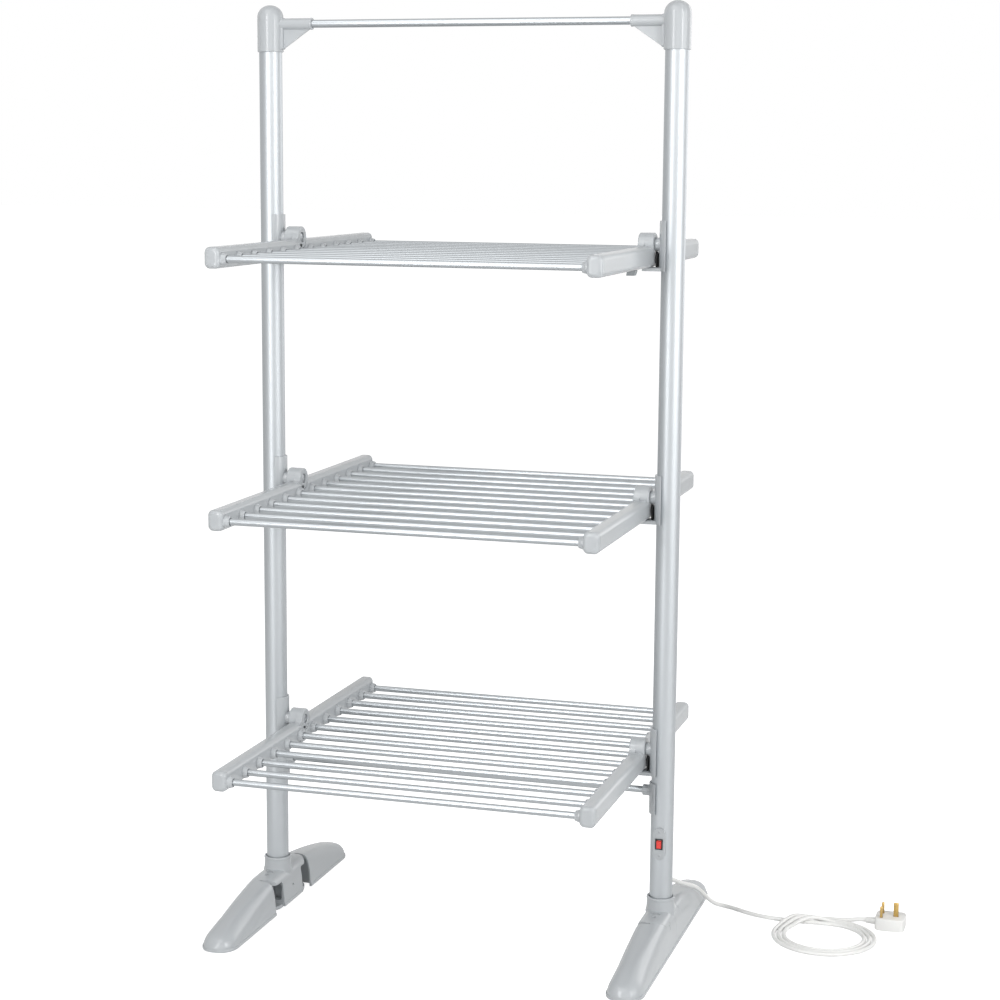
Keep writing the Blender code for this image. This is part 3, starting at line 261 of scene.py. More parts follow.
def zinc_plated_steel():
    """Bright zinc plated on steel: a cool grey with a fine, uneven shine."""
    material, tree, shader = new_material("zinc_plated_steel", "#A7AAAD", 0.36, Metallic=1.0)
    place = add_node(tree, "ShaderNodeTexCoord")
    # The plating's brighter and duller spots are about 1.1 mm across
    spots = add_node(tree, "ShaderNodeTexNoise", {"Scale": 900.0, "Detail": 2.0},
                     {"Vector": place.outputs["Object"]})
    gloss = add_node(tree, "ShaderNodeMapRange", {"To Min": 0.30, "To Max": 0.46},
                     {"Value": spots.outputs["Fac"]})
    tree.links.new(gloss.outputs[0], shader.inputs["Roughness"])
    return material


def soft_pvc(name, colour, roughness):
    """Extruded or moulded PVC: matt, with a slight drag in its skin."""
    material, tree, shader = new_material(name, colour, roughness, IOR=1.52)
    place = add_node(tree, "ShaderNodeTexCoord")
    # The skin's drag marks are about 1 mm apart
    skin = add_node(tree, "ShaderNodeTexNoise", {"Scale": 1000.0, "Detail": 2.0},
                    {"Vector": place.outputs["Object"]})
    relief = add_node(tree, "ShaderNodeBump", {"Strength": 0.08, "Distance": 0.0001},
                      {"Height": skin.outputs["Fac"]})
    tree.links.new(relief.outputs[0], shader.inputs["Normal"])
    return material


def red_lens():
    """Clear red polycarbonate over a neon lamp: it glows a little, evenly all over."""
    material, _, shader = new_material("red_polycarbonate_lens", "#C81E1E", 0.18, IOR=1.585,
                                       Transmission_Weight=0.25)
    shader.inputs["Emission Color"].default_value = linear("#FF5A4E")
    shader.inputs["Emission Strength"].default_value = 0.35
    return material


def moulded_rubber():
    """Matt black rubber with a dusty bloom."""
    material, tree, shader = new_material("moulded_rubber", "#2E2F30", 0.8, IOR=1.52)
    place = add_node(tree, "ShaderNodeTexCoord")
    # The bloom lies in patches about 3 mm across
    bloom = add_node(tree, "ShaderNodeTexNoise", {"Scale": 300.0, "Detail": 3.0},
                     {"Vector": place.outputs["Object"]})
    gloss = add_node(tree, "ShaderNodeMapRange", {"To Min": 0.70, "To Max": 0.95},
                     {"Value": bloom.outputs["Fac"]})
    tree.links.new(gloss.outputs[0], shader.inputs["Roughness"])
    return material


def stamped_brass():
    """Brass drawn to a bar and stamped: a warm yellow with fine lines along its length."""
    material, tree, shader = new_material("stamped_brass", "#C9A968", 0.30, Metallic=1.0)
    place = add_node(tree, "ShaderNodeTexCoord")
    # Drawing lines are about 0.1 mm apart; they are drawn 0.7 mm apart so that they show
    stretch = add_node(tree, "ShaderNodeMapping", {"Scale": (1400, 1400, 60)},
                       {"Vector": place.outputs["Object"]})
    drawn = add_node(tree, "ShaderNodeTexNoise", {"Scale": 1.0, "Detail": 2.0},
                     {"Vector": stretch.outputs[0]})
    gloss = add_node(tree, "ShaderNodeMapRange", {"To Min": 0.22, "To Max": 0.38},
                     {"Value": drawn.outputs["Fac"]})
    tree.links.new(gloss.outputs[0], shader.inputs["Roughness"])
    return material


FINISHES = {
    "anodised_post": satin_anodised_aluminium(),
    "moulding": moulded_abs("grey_moulded_abs", "#BBBFC2", 0.20),
    # The clip's darker grey is painted shade, for the shade it sits in under the top rail
    "clip": moulded_abs("clip_abs_painted_shade", "#8E9396", 0.40),
    "black_moulding": moulded_abs("black_moulded_abs", "#1A1B1D", 0.36),
    "coated_tube": lacquered_tube(),
    "steel_pin": zinc_plated_steel(),
    "black_lead": soft_pvc("black_pvc_lead", "#17181A", 0.50),
    "white_cord": soft_pvc("white_pvc_cord", "#F1F1EF", 0.40),
    "red_lens": red_lens(),
    "rubber_pad": moulded_rubber(),
    "plug_brass": stamped_brass(),
}


# Tools for making pieces

def loft(bm, rings):
    """A skin over rings with the same number of points, closed at both ends."""
    rows = [[bm.verts.new(point) for point in ring] for ring in rings]
    for first, second in zip(rows, rows[1:]):
        for i in range(len(first)):
            j = (i + 1) % len(first)
            bm.faces.new((first[i], first[j], second[j], second[i]))
    bm.faces.new(rows[0])
    bm.faces.new(list(reversed(rows[-1])))


def turn(bm, start, end, profile, sides=BAR_SIDES, closed=False):
    """Turns a profile of (distance from start, radius) points about the line from start to end."""
    start, along = Vector(start), (Vector(end) - Vector(start)).normalized()
    across = along.orthogonal().normalized()
    other = along.cross(across)
    rings = []
    for reach, radius in profile:
        centre = start + along * reach
        if radius == 0:
            rings.append([bm.verts.new(centre)])
            continue
        angles = [math.tau * i / sides for i in range(sides)]
        rings.append([bm.verts.new(centre + radius * (math.cos(a) * across + math.sin(a) * other))
                      for a in angles])
    if closed:
        rings.append(rings[0])
    for first, second in zip(rings, rings[1:]):
        for i in range(sides):
            j = (i + 1) % sides
            if len(first) == 1:
                bm.faces.new((first[0], second[j], second[i]))
            elif len(second) == 1:
                bm.faces.new((first[i], first[j], second[0]))
            else:
                bm.faces.new((first[i], first[j], second[j], second[i]))
    if not closed:
        for ring in (rings[0], rings[-1]):
            if len(ring) > 1:
                bm.faces.new(ring)


def rounded_box_section(width, height, radius, steps=6):
    """Points round a rectangle with round corners, about its middle."""
    points = []
    for corner, (sign_x, sign_z) in enumerate(((1, 1), (-1, 1), (-1, -1), (1, -1))):
        for i in range(steps + 1):
            angle = math.pi / 2 * (corner + i / steps)
            points.append((sign_x * (width / 2 - radius) + radius * math.cos(angle),
                           sign_z * (height / 2 - radius) + radius * math.sin(angle)))
    return points


def mesh_from(name, bm):
    """A mesh of a closed form, its faces turned outward."""
    bmesh.ops.recalc_face_normals(bm, faces=bm.faces)
    mesh = bpy.data.meshes.new(name)
    bm.to_mesh(mesh)
    bm.free()
    return mesh


def show_mesh(name, mesh, slot, body, stands_for=(), place=(0, 0, 0)):
    """Puts a mesh into the scene as a piece of a body: smooth, but for its creases, in its finish."""
    mesh.shade_smooth()
    mesh.set_sharp_from_angle(angle=math.radians(CREASE_DEGREES))
    piece = bpy.data.objects.new(name, mesh)
    piece.location = place
    bpy.context.scene.collection.objects.link(piece)
    if not mesh.materials:
        mesh.materials.append(FINISHES[slot])
    even = piece.modifiers.new("even shading", "WEIGHTED_NORMAL")
    even.keep_sharp = True
    bpy.context.view_layer.update()
    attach(piece, body)
    if stands_for:
        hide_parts(*stands_for)
    return piece


def piece_from(name, bm, slot, body, stands_for=()):
    """A closed form as a piece of a body."""
    return show_mesh(name, mesh_from(name, bm), slot, body, stands_for)


def mould_edges(piece, width, segments=2, least_angle=50):
    """Rounds a piece's edges as its mould does, where they turn by more than an angle."""
    weld = piece.modifiers.new("weld", "WELD")
    weld.merge_threshold = WELD_REACH
    edge = piece.modifiers.new("mould edge", "BEVEL")
    edge.width = width
    edge.segments = segments
    edge.limit_method = "ANGLE"
    edge.angle_limit = math.radians(least_angle)
    edge.harden_normals = True


def softened(name, slot, width, segments=3):
    """A CAD node in its finish, its edges rounded as the mould rounds them."""
    piece = nodes[name]
    for holder in piece.material_slots:
        holder.material = FINISHES[slot]
    piece.data.shade_smooth()
    mould_edges(piece, width, segments, 40)


def carve(bm, tool, operation="DIFFERENCE"):
    """Takes the tool's closed form out of a closed form, or joins or meets the two."""
    pieces = []
    for part in (bm, tool):
        piece = bpy.data.objects.new("carving", mesh_from("carving", part))
        bpy.context.scene.collection.objects.link(piece)
        pieces.append(piece)
    modifier = pieces[0].modifiers.new("carve", "BOOLEAN")
    modifier.operation = operation
    modifier.object = pieces[1]
    bpy.context.view_layer.update()
    graph = bpy.context.evaluated_depsgraph_get()
    left = bmesh.new()
    left.from_mesh(pieces[0].evaluated_get(graph).data)
    for piece in pieces:
        mesh = piece.data
        bpy.data.objects.remove(piece)
        bpy.data.meshes.remove(mesh)
    return left


def add_form(bm, other):
    """Adds a closed form to a piece's mesh, overlapping what is there."""
    mesh = mesh_from("form", other)
    bm.from_mesh(mesh)
    bpy.data.meshes.remove(mesh)


def rounded_prism(outline, low, high, edge, axis="X"):
    """A flat outline pushed along an axis, its two rims rounded by edge."""
    bm = bmesh.new()
    order = {"X": (2, 0, 1), "Y": (0, 2, 1), "Z": (0, 1, 2)}[axis]
    rings = []
    for depth in (low, high):
        rings.append([[(*point, depth)[k] for k in order] for point in outline])
    loft(bm, rings)
    bmesh.ops.recalc_face_normals(bm, faces=bm.faces)
    along = "XYZ".index(axis)
    for depth in (low, high) if edge else ():
        rim = [e for e in bm.edges if all(abs(v.co[along] - depth) < 0.000001 for v in e.verts)]
        bmesh.ops.bevel(bm, geom=rim, offset=edge, segments=4, profile=0.5, affect="EDGES",
                        clamp_overlap=True)
    return bm


# Mains cord

def coil_points():
    """The coil's turns, outward from its first, lifted where they cross the cord that feeds them."""
    cx, cy = COIL_CENTRE
    lead_y = cy + COIL_START_RADIUS
    points = []
    for i in range(COIL_TURNS * COIL_STEPS + 1):
        turn_share = i / COIL_STEPS
        angle = math.pi / 2 - math.tau * turn_share
        radius = COIL_START_RADIUS + COIL_PITCH * turn_share
        x, y = cx + radius * math.cos(angle), cy + radius * math.sin(angle)
        lift = 0.0
        if turn_share > 0.5:
            crossing = COIL_START_RADIUS + COIL_PITCH * (math.floor(turn_share + 0.5) - 0.12)
            crossing_x = cx - math.sqrt(max(crossing ** 2 - COIL_START_RADIUS ** 2, 0))
            away = math.hypot(x - crossing_x, y - lead_y + CORD_DIAMETER / 4)
            if away < COIL_HUMP_REACH:
                lift = COIL_HUMP * 0.5 * (1 + math.cos(math.pi * away / COIL_HUMP_REACH))
        points.append(Vector((x, y, CORD_LIES + lift)))
    return points


def cord_points():
    """The cord's whole way from the strain relief to the plug."""
    tip = Vector(CORD_EXIT)
    coil = coil_points()
    last = coil[-1]
    neck = Vector((COIL_CENTRE[0] + COIL_RUN_OUT + 6 * CORD_DIAMETER, last.y, PLUG_CORD_HEIGHT))
    return ([tip, tip + Vector((0, 0.007, 0))] + [Vector(p) for p in CORD_ROUTE] + coil
            + [last + Vector((COIL_RUN_OUT, 0, 0)), last + Vector((COIL_RUN_OUT + 0.014, 0, 0.0017)),
               neck - Vector((0.007, 0, 0)), neck])


def mains_cord():
    """One round white cord: over the rear foot, down to the floor, a loose coil, up into the plug."""
    points = cord_points()
    curve = bpy.data.curves.new("white_mains_cord", "CURVE")
    curve.dimensions = "3D"
    curve.bevel_depth = CORD_DIAMETER / 2
    curve.bevel_resolution = 5
    curve.resolution_u = 5
    curve.use_fill_caps = True
    spline = curve.splines.new("BEZIER")
    spline.bezier_points.add(len(points) - 1)
    for knot, place in zip(spline.bezier_points, points):
        knot.co = place
        knot.handle_left_type = knot.handle_right_type = "AUTO"
    curve.materials.append(FINISHES["white_cord"])
    cord = bpy.data.objects.new("white_mains_cord", curve)
    bpy.context.scene.collection.objects.link(cord)
    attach(cord, "stand")
    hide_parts("mains_cord", "cord_coil")
    return cord


def strain_relief():
    """The cord's strain relief at the back of the post: a collar and a tapered, ribbed sleeve."""
    bm = bmesh.new()
    root, tip, groove = 0.0065, 0.0046, 0.0011
    profile = [(-0.004, 0.0045), (0.0004, 0.0045), (0.0004, 0.0088), (0.0022, 0.0094), (0.0036, 0.0088),
               (0.0042, root)]
    ribs = 5
    length = GLAND_LENGTH - 0.0060
    for i in range(ribs):
        start = 0.0050 + length * i / ribs
        crest = root - (root - tip) * (i + 0.5) / ribs
        profile += [(start, crest), (start + 0.0018, crest), (start + 0.0021, crest - groove),
                    (start + length / ribs - 0.0004, crest - groove)]
    profile += [(GLAND_LENGTH - 0.0003, tip), (GLAND_LENGTH, tip - 0.0004), (GLAND_LENGTH, 0.0036)]
    turn(bm, (POST_X, POST_RADIUS, GLAND_HEIGHT), CORD_EXIT, profile, TUBE_SIDES)
    return piece_from("ribbed_strain_relief", bm, "white_cord", "stand", stands_for=("cord_gland",))


# Posts, caps and bars

def post(side):
    """A post: a round anodised tube, open at both ends, inside the cap and the foot."""
    bm = bmesh.new()
    length = POST_TOP - POST_FOOT
    inner = POST_RADIUS - POST_WALL
    turn(bm, (side * POST_X, 0, POST_FOOT), (side * POST_X, 0, POST_TOP),
         [(0, inner), (0, POST_RADIUS), (length, POST_RADIUS), (length, inner)], POST_SIDES,
         closed=True)
    name = "post_" + SIDE_NAMES[side]
    piece_from("anodised_" + name, bm, "anodised_post", "stand", stands_for=(name,))


def corner_cap(side):
    """A corner cap: domed sleeve, socket with a bead at its mouth, and the gusset under it."""
    x = side * POST_X
    bm = bmesh.new()
    profile = [(0, CAP_RADIUS - 0.0008), (0.0003, CAP_RADIUS - 0.0003), (0.0009, CAP_RADIUS)]
    steps = 14
    for i in range(steps + 1):
        angle = math.pi / 2 * i / steps
        profile.append((CAP_TOP - CAP_BOTTOM - CAP_DOME + CAP_DOME * math.sin(angle),
                        CAP_RADIUS * math.cos(angle)))
    profile[-1] = (CAP_TOP - CAP_BOTTOM, 0)
    turn(bm, (x, 0, CAP_BOTTOM), (x, 0, CAP_TOP), profile, POST_SIDES)

    mouth, inside = POST_X - SOCKET_REACH, SOCKET_REACH - 0.015
    radius, neck, bore = SOCKET_RADIUS, SOCKET_RADIUS - 0.0004, HANG_RADIUS + 0.0002
    turn(bm, (side * mouth, 0, HANG_HEIGHT), (x, 0, HANG_HEIGHT),
         [(0.0040, bore), (0.0002, bore), (0, bore + 0.0003), (0, radius - 0.0009),
          (0.0003, radius - 0.0003), (0.0009, radius), (0.0030, radius), (0.0034, neck), (inside, neck),
          (inside, bore)], BAR_SIDES, closed=True)

    root, web_half = POST_X - 0.018, 0.0020
    low = HANG_HEIGHT - WEB_DROP
    web = [(side * (mouth + 0.0040), HANG_HEIGHT - 0.0080),
           (side * (mouth + 0.0120), HANG_HEIGHT - 0.0040), (side * root, HANG_HEIGHT - 0.004),
           (side * root, low), (side * (POST_X - CAP_RADIUS - 0.0012), low)]
    add_form(bm, rounded_prism(web, -web_half, web_half, 0.0007, "Y"))

    flange = [(y, z + HANG_HEIGHT - 0.0150) for y, z in rounded_box_section(0.013, 0.049, 0.003, 3)]
    face = POST_X - CAP_RADIUS
    add_form(bm, rounded_prism(flange, side * (face - CAP_FLANGE), side * (face + 0.002), 0.0006, "X"))
    name = "corner_cap_" + SIDE_NAMES[side]
    piece_from("domed_" + name, bm, "moulding", "stand", stands_for=(name,))


def hanging_bar():
    """The bar for hangers between the caps."""
    bm = bmesh.new()
    end = POST_X - CAP_RADIUS - CAP_FLANGE
    turn(bm, (-end, 0, HANG_HEIGHT), (end, 0, HANG_HEIGHT), [(0, HANG_RADIUS), (2 * end, HANG_RADIUS)])
    piece_from("silver_hanging_bar", bm, "coated_tube", "stand", stands_for=("hanging_bar",))


def cross_rod():
    """The rod that ties the posts near the floor."""
    bm = bmesh.new()
    end = ROD_FACE + 0.0087
    turn(bm, (-end, 0, ROD_HEIGHT), (end, 0, ROD_HEIGHT), [(0, ROD_RADIUS), (2 * end, ROD_RADIUS)])
    piece_from("silver_cross_rod", bm, "coated_tube", "stand", stands_for=("cross_rod",))


# Wings

def knuckle_ramp():
    """The outline of the curve that sweeps from the knuckle down to the rail's top, with its backing."""
    curve_z = RAIL_TOP + KNUCKLE_CURVE
    curve_y = math.sqrt((KNUCKLE_RADIUS + KNUCKLE_CURVE) ** 2 - curve_z ** 2)
    first = math.atan2(curve_z, curve_y)
    steps = 12
    points = []
    for i in range(steps + 1):
        angle = (first - math.pi / 2) * i / steps - math.pi / 2
        points.append((curve_y + KNUCKLE_CURVE * math.cos(angle),
                       curve_z + KNUCKLE_CURVE * math.sin(angle)))
    back, under = 0.7 * KNUCKLE_RADIUS, RAIL_TOP - 0.004
    return points + [(back, 0.0), (back, under), (curve_y, under)]


def rail_stations():
    """Distances from the pivot along a rail, each with how far its skin draws in there."""
    soft, groove, seam = 0.0006, 0.0006, RAIL_REACH - 0.0095
    stations = [(RAIL_END_GAP, soft), (RAIL_END_GAP + soft, 0.0), (0.10, 0.0), (0.20, 0.0)]
    stations += [(seam - 0.0007, 0.0), (seam - 0.0004, groove), (seam + 0.0004, groove),
                 (seam + 0.0007, 0.0)]
    crown, fullness, steps = 0.0062, 0.92, 6
    for i in range(steps + 1):
        angle = math.pi / 2 * i / steps
        stations.append((RAIL_REACH - crown + crown * math.sin(angle),
                         crown * (1 - math.cos(angle)) * fullness))
    return stations + [(RAIL_REACH, crown * fullness + 0.0012)]


def knuckle_barrel(side, wing, own):
    """A knuckle's barrel over its own width, with a rounded outer rim and, in front, a sunk pin seat."""
    barrel = bmesh.new()
    length = own[1] - own[0]
    rim, steps = 0.0018, 5
    curve = [(rim * (1 - math.sin(a)), KNUCKLE_RADIUS - rim * (1 - math.cos(a)))
             for a in [math.pi / 2 * (1 - i / steps) for i in range(steps + 1)]]
    if wing == FRONT:
        seat, depth = 0.0080, 0.0045
        profile = [(depth, PIN_HOLE), (depth, seat), (0.0008, seat), (0.0, seat + 0.0008)] + curve
        profile += [(length, KNUCKLE_RADIUS), (length, PIN_HOLE)]
    else:
        profile = [(0.0, PIN_HOLE), (0.0, KNUCKLE_RADIUS)]
        profile += [(length - reach, radius) for reach, radius in reversed(curve)]
        profile += [(length, PIN_HOLE)]
    turn(barrel, (side * own[0], 0, 0), (side * own[1], 0, 0), profile, POST_SIDES, closed=True)
    return barrel


def rail_mesh(side, wing):
    """A moulded rail about its pivot: soft-edged body with a seamed end, tube bosses and its knuckle."""
    width = RAIL_OUTER - RAIL_INNER
    middle_x, middle_z = side * (RAIL_INNER + RAIL_OUTER) / 2, RAIL_TOP - RAIL_HEIGHT / 2
    rings = []
    for reach, inset in rail_stations():
        section = rounded_box_section(width - 2 * inset, RAIL_HEIGHT - 2 * inset,
                                      max(RAIL_CORNER - inset * 0.6, 0.002))
        rings.append([(middle_x + px, wing * reach, middle_z + pz) for px, pz in section])
    body = bmesh.new()
    loft(body, rings)

    # The front wing's knuckle has the inner half of the pivot's width, the rear wing's the outer half
    gap, overlap, past = 0.00005, 0.00015, 0.002
    if wing == FRONT:
        own = (RAIL_INNER, KNUCKLE_MIDDLE - gap)
        other = (KNUCKLE_MIDDLE - overlap, RAIL_OUTER + past)
    else:
        own = (KNUCKLE_MIDDLE + gap, RAIL_OUTER)
        other = (RAIL_INNER - past, KNUCKLE_MIDDLE + overlap)
    clearance, room = bmesh.new(), KNUCKLE_RADIUS + 0.0005
    turn(clearance, (side * other[0], 0, 0), (side * other[1], 0, 0),
         [(0, room), (other[1] - other[0], room)], 64)
    body = carve(body, clearance)
    ramp = [(wing * y, z) for y, z in knuckle_ramp()]
    add_form(body, rounded_prism(ramp, side * (own[0] + 0.0004), side * (own[1] - 0.0004), 0, "X"))
    add_form(body, knuckle_barrel(side, wing, own))

    face, deep = RAIL_INNER - BOSS_LENGTH, BOSS_LENGTH + 0.004
    radius, bore = BOSS_RADIUS, BAR_RADIUS + 0.0006
    for i in range(BAR_COUNT):
        y = wing * (BAR_FIRST + i * BAR_PITCH)
        turn(body, (side * face, y, BAR_LEVEL), (side * RAIL_OUTER, y, BAR_LEVEL),
             [(0.0045, bore), (0.0005, bore), (0, bore + 0.0004), (0, radius - 0.0024),
              (0.0003, radius - 0.0017), (0.0010, radius - 0.0013), (0.0052, radius - 0.0003),
              (0.0058, radius + 0.0002), (deep, radius + 0.0003), (deep, bore)], TUBE_SIDES, closed=True)
    return mesh_from("moulded_rail", body)


def tubes_mesh(wing):
    """The six heated tubes of a wing, about its pivot."""
    bm = bmesh.new()
    end = RAIL_INNER - 0.003
    for i in range(BAR_COUNT):
        y = wing * (BAR_FIRST + i * BAR_PITCH)
        turn(bm, (-end, y, BAR_LEVEL), (end, y, BAR_LEVEL), [(0, BAR_RADIUS), (2 * end, BAR_RADIUS)],
             TUBE_SIDES)
    return mesh_from("heated_tubes", bm)


def wings():
    """The six wings: the same two rails and six tubes at every tier."""
    for wing in (FRONT, REAR):
        rails = {side: rail_mesh(side, wing) for side in (LEFT, RIGHT)}
        tubes = tubes_mesh(wing)
        for tier, pivot in PIVOTS.items():
            label = "%s_%s" % (tier, WING_NAMES[wing])
            body = "wing_" + label
            for side, mesh in rails.items():
                node = "wing_%s_%s_rail" % (label, SIDE_NAMES[side])
                show_mesh("rail_%s_%s" % (label, SIDE_NAMES[side]), mesh, "moulding", body,
                          stands_for=(node,), place=(0, 0, pivot))
            show_mesh("heated_tubes_" + label, tubes, "coated_tube", body,
                      stands_for=("wing_%s_left_rail" % label,), place=(0, 0, pivot))


def pivot_pins():
    """The headed pins that the wings turn on, seen in the recesses of the knuckles."""
    for side in (LEFT, RIGHT):
        for tier, pivot in PIVOTS.items():
            bm = bmesh.new()
            head, head_radius, shank = RAIL_INNER + 0.0012, 0.0065, 0.0040
            turn(bm, (side * head, 0, pivot), (side * POST_X, 0, pivot),
                 [(0.0006, 0), (0.0006, 0.0022), (0.0, 0.0026), (0.0001, 0.0045), (0.0008, 0.0060),
                  (0.0016, head_radius), (0.0030, head_radius), (0.0030, shank),
                  (POST_X - POST_RADIUS - head - 0.0003, shank)], TUBE_SIDES)
            name = "pivot_pin_%s_%s" % (tier, SIDE_NAMES[side])
            piece_from("headed_" + name, bm, "steel_pin", "stand", stands_for=(name,))


# Feet

def eased(table, place):
    """Reads a table of (place, value) pairs, level at its start, in a smooth curve through its rows."""
    k = 0
    while k < len(table) - 2 and place > table[k + 1][0]:
        k += 1
    (a, low), (b, high) = table[k], table[k + 1]
    before = table[k - 1] if k else (-b, high)
    after = table[k + 2] if k + 2 < len(table) else (2 * b - a, 2 * high - low)
    t = (place - a) / (b - a)
    slope_in = (high - before[1]) / (b - before[0]) * (b - a)
    slope_out = (after[1] - low) / (after[0] - a) * (b - a)
    return ((2 * t ** 3 - 3 * t ** 2 + 1) * low + (t ** 3 - 2 * t ** 2 + t) * slope_in
            + (3 * t ** 2 - 2 * t ** 3) * high + (t ** 3 - t ** 2) * slope_out)


def foot_top(distance):
    """The height of the foot's ridge at a distance from its post's axis."""
    return FOOT_BASE + (FOOT_HEIGHT - FOOT_BASE) * eased(FOOT_PROFILE, min(distance / FOOT_HALF, 1))


def foot_section(distance, inset, base, lip):
    """The foot's arched section at a distance from its post's axis, as (x, z) points."""
    # In plan the sides run straight and then round into the tip
    out = max(distance - (FOOT_HALF - FOOT_TIP), 0) / FOOT_TIP
    bend, fullness = 2.3, 0.45
    least_half_width, least_height = 0.0012, 0.003
    half_width = max(FOOT_WIDTH / 2 * (1 - min(out, 1) ** bend) ** fullness - inset, least_half_width)
    height = max(foot_top(distance) - inset - base, least_height)
    # The arch is squarish near the post and rounder toward the tip
    squarish, softening, from_share, over_share = 4.6, 2.0, 0.25, 0.45
    softened_share = min(max((distance / FOOT_HALF - from_share) / over_share, 0), 1)
    square = 2 / (squarish - softening * softened_share)
    steps = 32
    arch = []
    for i in range(steps + 1):
        c, s = math.cos(math.pi * i / steps), math.sin(math.pi * i / steps)
        rise = abs(s) ** square
        lean = FOOT_DRAFT * rise * height / FOOT_HEIGHT
        arch.append((math.copysign((half_width - lean) * abs(c) ** square, c), base + height * rise))
    if not lip:
        return arch
    out, tall = half_width + FOOT_LIP_OUT, min(FOOT_LIP, height / 3)
    edge = [(out - 0.0003, base), (out, base + 0.0004), (out, base + tall - 0.0004),
            (out - 0.0003, base + tall), (half_width, base + tall + 0.0001)]
    return edge + arch[1:-1] + [(-x, z) for x, z in reversed(edge)]


def foot_skin(start, end, inset=0.0, base=FOOT_BASE, lip=False):
    """The foot's arched form between two distances from the post's axis, smaller all round by inset."""
    steps, straight_steps, tip_steps = 24, 16, 14
    places = [start + (end - start) * i / steps for i in range(steps + 1)]
    knee = FOOT_HALF - FOOT_TIP
    if end > knee:
        places = [start + (knee - start) * i / straight_steps for i in range(straight_steps)]
        places += [knee + (end - knee) * math.sin(math.pi / 2 * i / tip_steps)
                   for i in range(tip_steps + 1)]
    bm = bmesh.new()
    loft(bm, [[(x, y, z) for x, z in foot_section(abs(y), inset, base, lip)] for y in places])
    return bm


def block_of(low, high):
    """A plain box between two corners, as a closed form."""
    bm = bmesh.new()
    outline = ((low[0], low[1]), (high[0], low[1]), (high[0], high[1]), (low[0], high[1]))
    loft(bm, [[(x, y, z) for x, y in outline] for z in (low[2], high[2])])
    return bm


def upright_rod(x, y, radius, low, high, sides=BAR_SIDES):
    """A round upright rod, as a closed form."""
    bm = bmesh.new()
    turn(bm, (x, y, low), (x, y, high), [(0, radius), (high - low, radius)], sides)
    return bm


def hub_plan(clear, low, high, lobe=CANOPY_RADIUS):
    """The hub's plan pushed upright: inner block, a lobe at each hinge, and the collar's round."""
    half = HUB_BLOCK_LENGTH / 2 + clear
    plan = block_of((-HUB_BLOCK_OUTER - clear, -half, low), (FOOT_WIDTH, half, high))
    for y, radius in ((-HINGE_PLACE, lobe), (HINGE_PLACE, lobe), (0, COLLAR_RADIUS)):
        plan = carve(plan, upright_rod(0, y, radius + clear, low, high, POST_SIDES), "UNION")
    return plan


def to_corner(bm, side, wing=REAR):
    """Moves a form made for the rear half and an inner side at +X to its own corner under its post."""
    mirror = Matrix.Diagonal((-side, -1 if wing == FRONT else 1, 1, 1))
    bmesh.ops.transform(bm, matrix=Matrix.Translation((side * POST_X, 0, 0)) @ mirror, verts=bm.verts)
    return bm


def hub_form():
    """A foot hub: arched block, hollow at each end, with forks that are round about the hinge pins."""
    reach, above = 0.078, FOOT_HEIGHT + 0.004
    hub = carve(foot_skin(-reach, reach, base=HUB_BASE, lip=True),
                hub_plan(0, HUB_BASE - 0.002, 0.070), "INTERSECT")
    fork_length = 0.080
    fork = rounded_box_section(fork_length, FORK_HIGH - FORK_LOW, 0.0050, 5)
    hollow = [(x + 0.0135, z + 0.0290) for x, z in rounded_box_section(0.0190, 0.0270, 0.0045, 5)]
    slot = rounded_box_section(0.0150, 0.0050, 0.0025, 5)
    barrel_room, pin_bore, pin_top = 0.0095, 0.0033, foot_top(HINGE_PLACE) + 0.004
    for wing in (FRONT, REAR):
        hinge = wing * HINGE_PLACE
        place, level = wing * (HUB_BLOCK_LENGTH / 2 + fork_length / 2), (FORK_LOW + FORK_HIGH) / 2
        hub = carve(hub, rounded_prism([(y + place, z + level) for y, z in fork],
                                       -FOOT_WIDTH, FOOT_WIDTH, 0, "X"))
        hub = carve(hub, upright_rod(0, hinge, barrel_room, FORK_LOW, FORK_HIGH))
        ends = sorted((wing * 0.0245, wing * (HUB_BLOCK_LENGTH / 2 + 0.001)))
        hub = carve(hub, rounded_prism(hollow, ends[0], ends[1], 0, "Y"))
        hub = carve(hub, upright_rod(0, hinge, pin_bore, -0.002, pin_top, 32))
        hub = carve(hub, rounded_prism([(x, y + wing * 0.0322) for x, y in slot], 0.0530, above, 0, "Z"))
    screw_hole, screw_radius = bmesh.new(), 0.0021
    turn(screw_hole, (0.0235, 0.001, 0.0305), (0.06, 0.001, 0.0305),
         [(0, screw_radius), (0.012, screw_radius)], 32)
    hub = carve(hub, screw_hole)
    return carve(hub, upright_rod(0, 0, POST_RADIUS + POST_FIT, POST_FOOT, 0.09, POST_SIDES))


def hub_collar():
    """The collar that the post stands in, slightly tapered, with a proud rim and a dark line inside."""
    bm = bmesh.new()
    seat, outer = POST_RADIUS + POST_FIT, COLLAR_RADIUS
    profile = [(0.0020, seat), (0.0505, outer + 0.0022), (0.0540, outer + 0.0013),
               (0.0560, outer + 0.0008), (0.0600, outer + 0.0005), (0.0706, outer),
               (0.0709, outer + 0.0005), (0.0716, outer + 0.0008), (0.0741, outer + 0.0007),
               (0.0748, outer + 0.0004), (0.0750, outer - 0.0004), (0.0750, POST_RADIUS + 0.0017),
               (0.0728, POST_RADIUS + 0.0012), (0.0715, seat)]
    turn(bm, (0, 0, HUB_BASE), (0, 0, 1), profile, POST_SIDES, closed=True)
    return bm


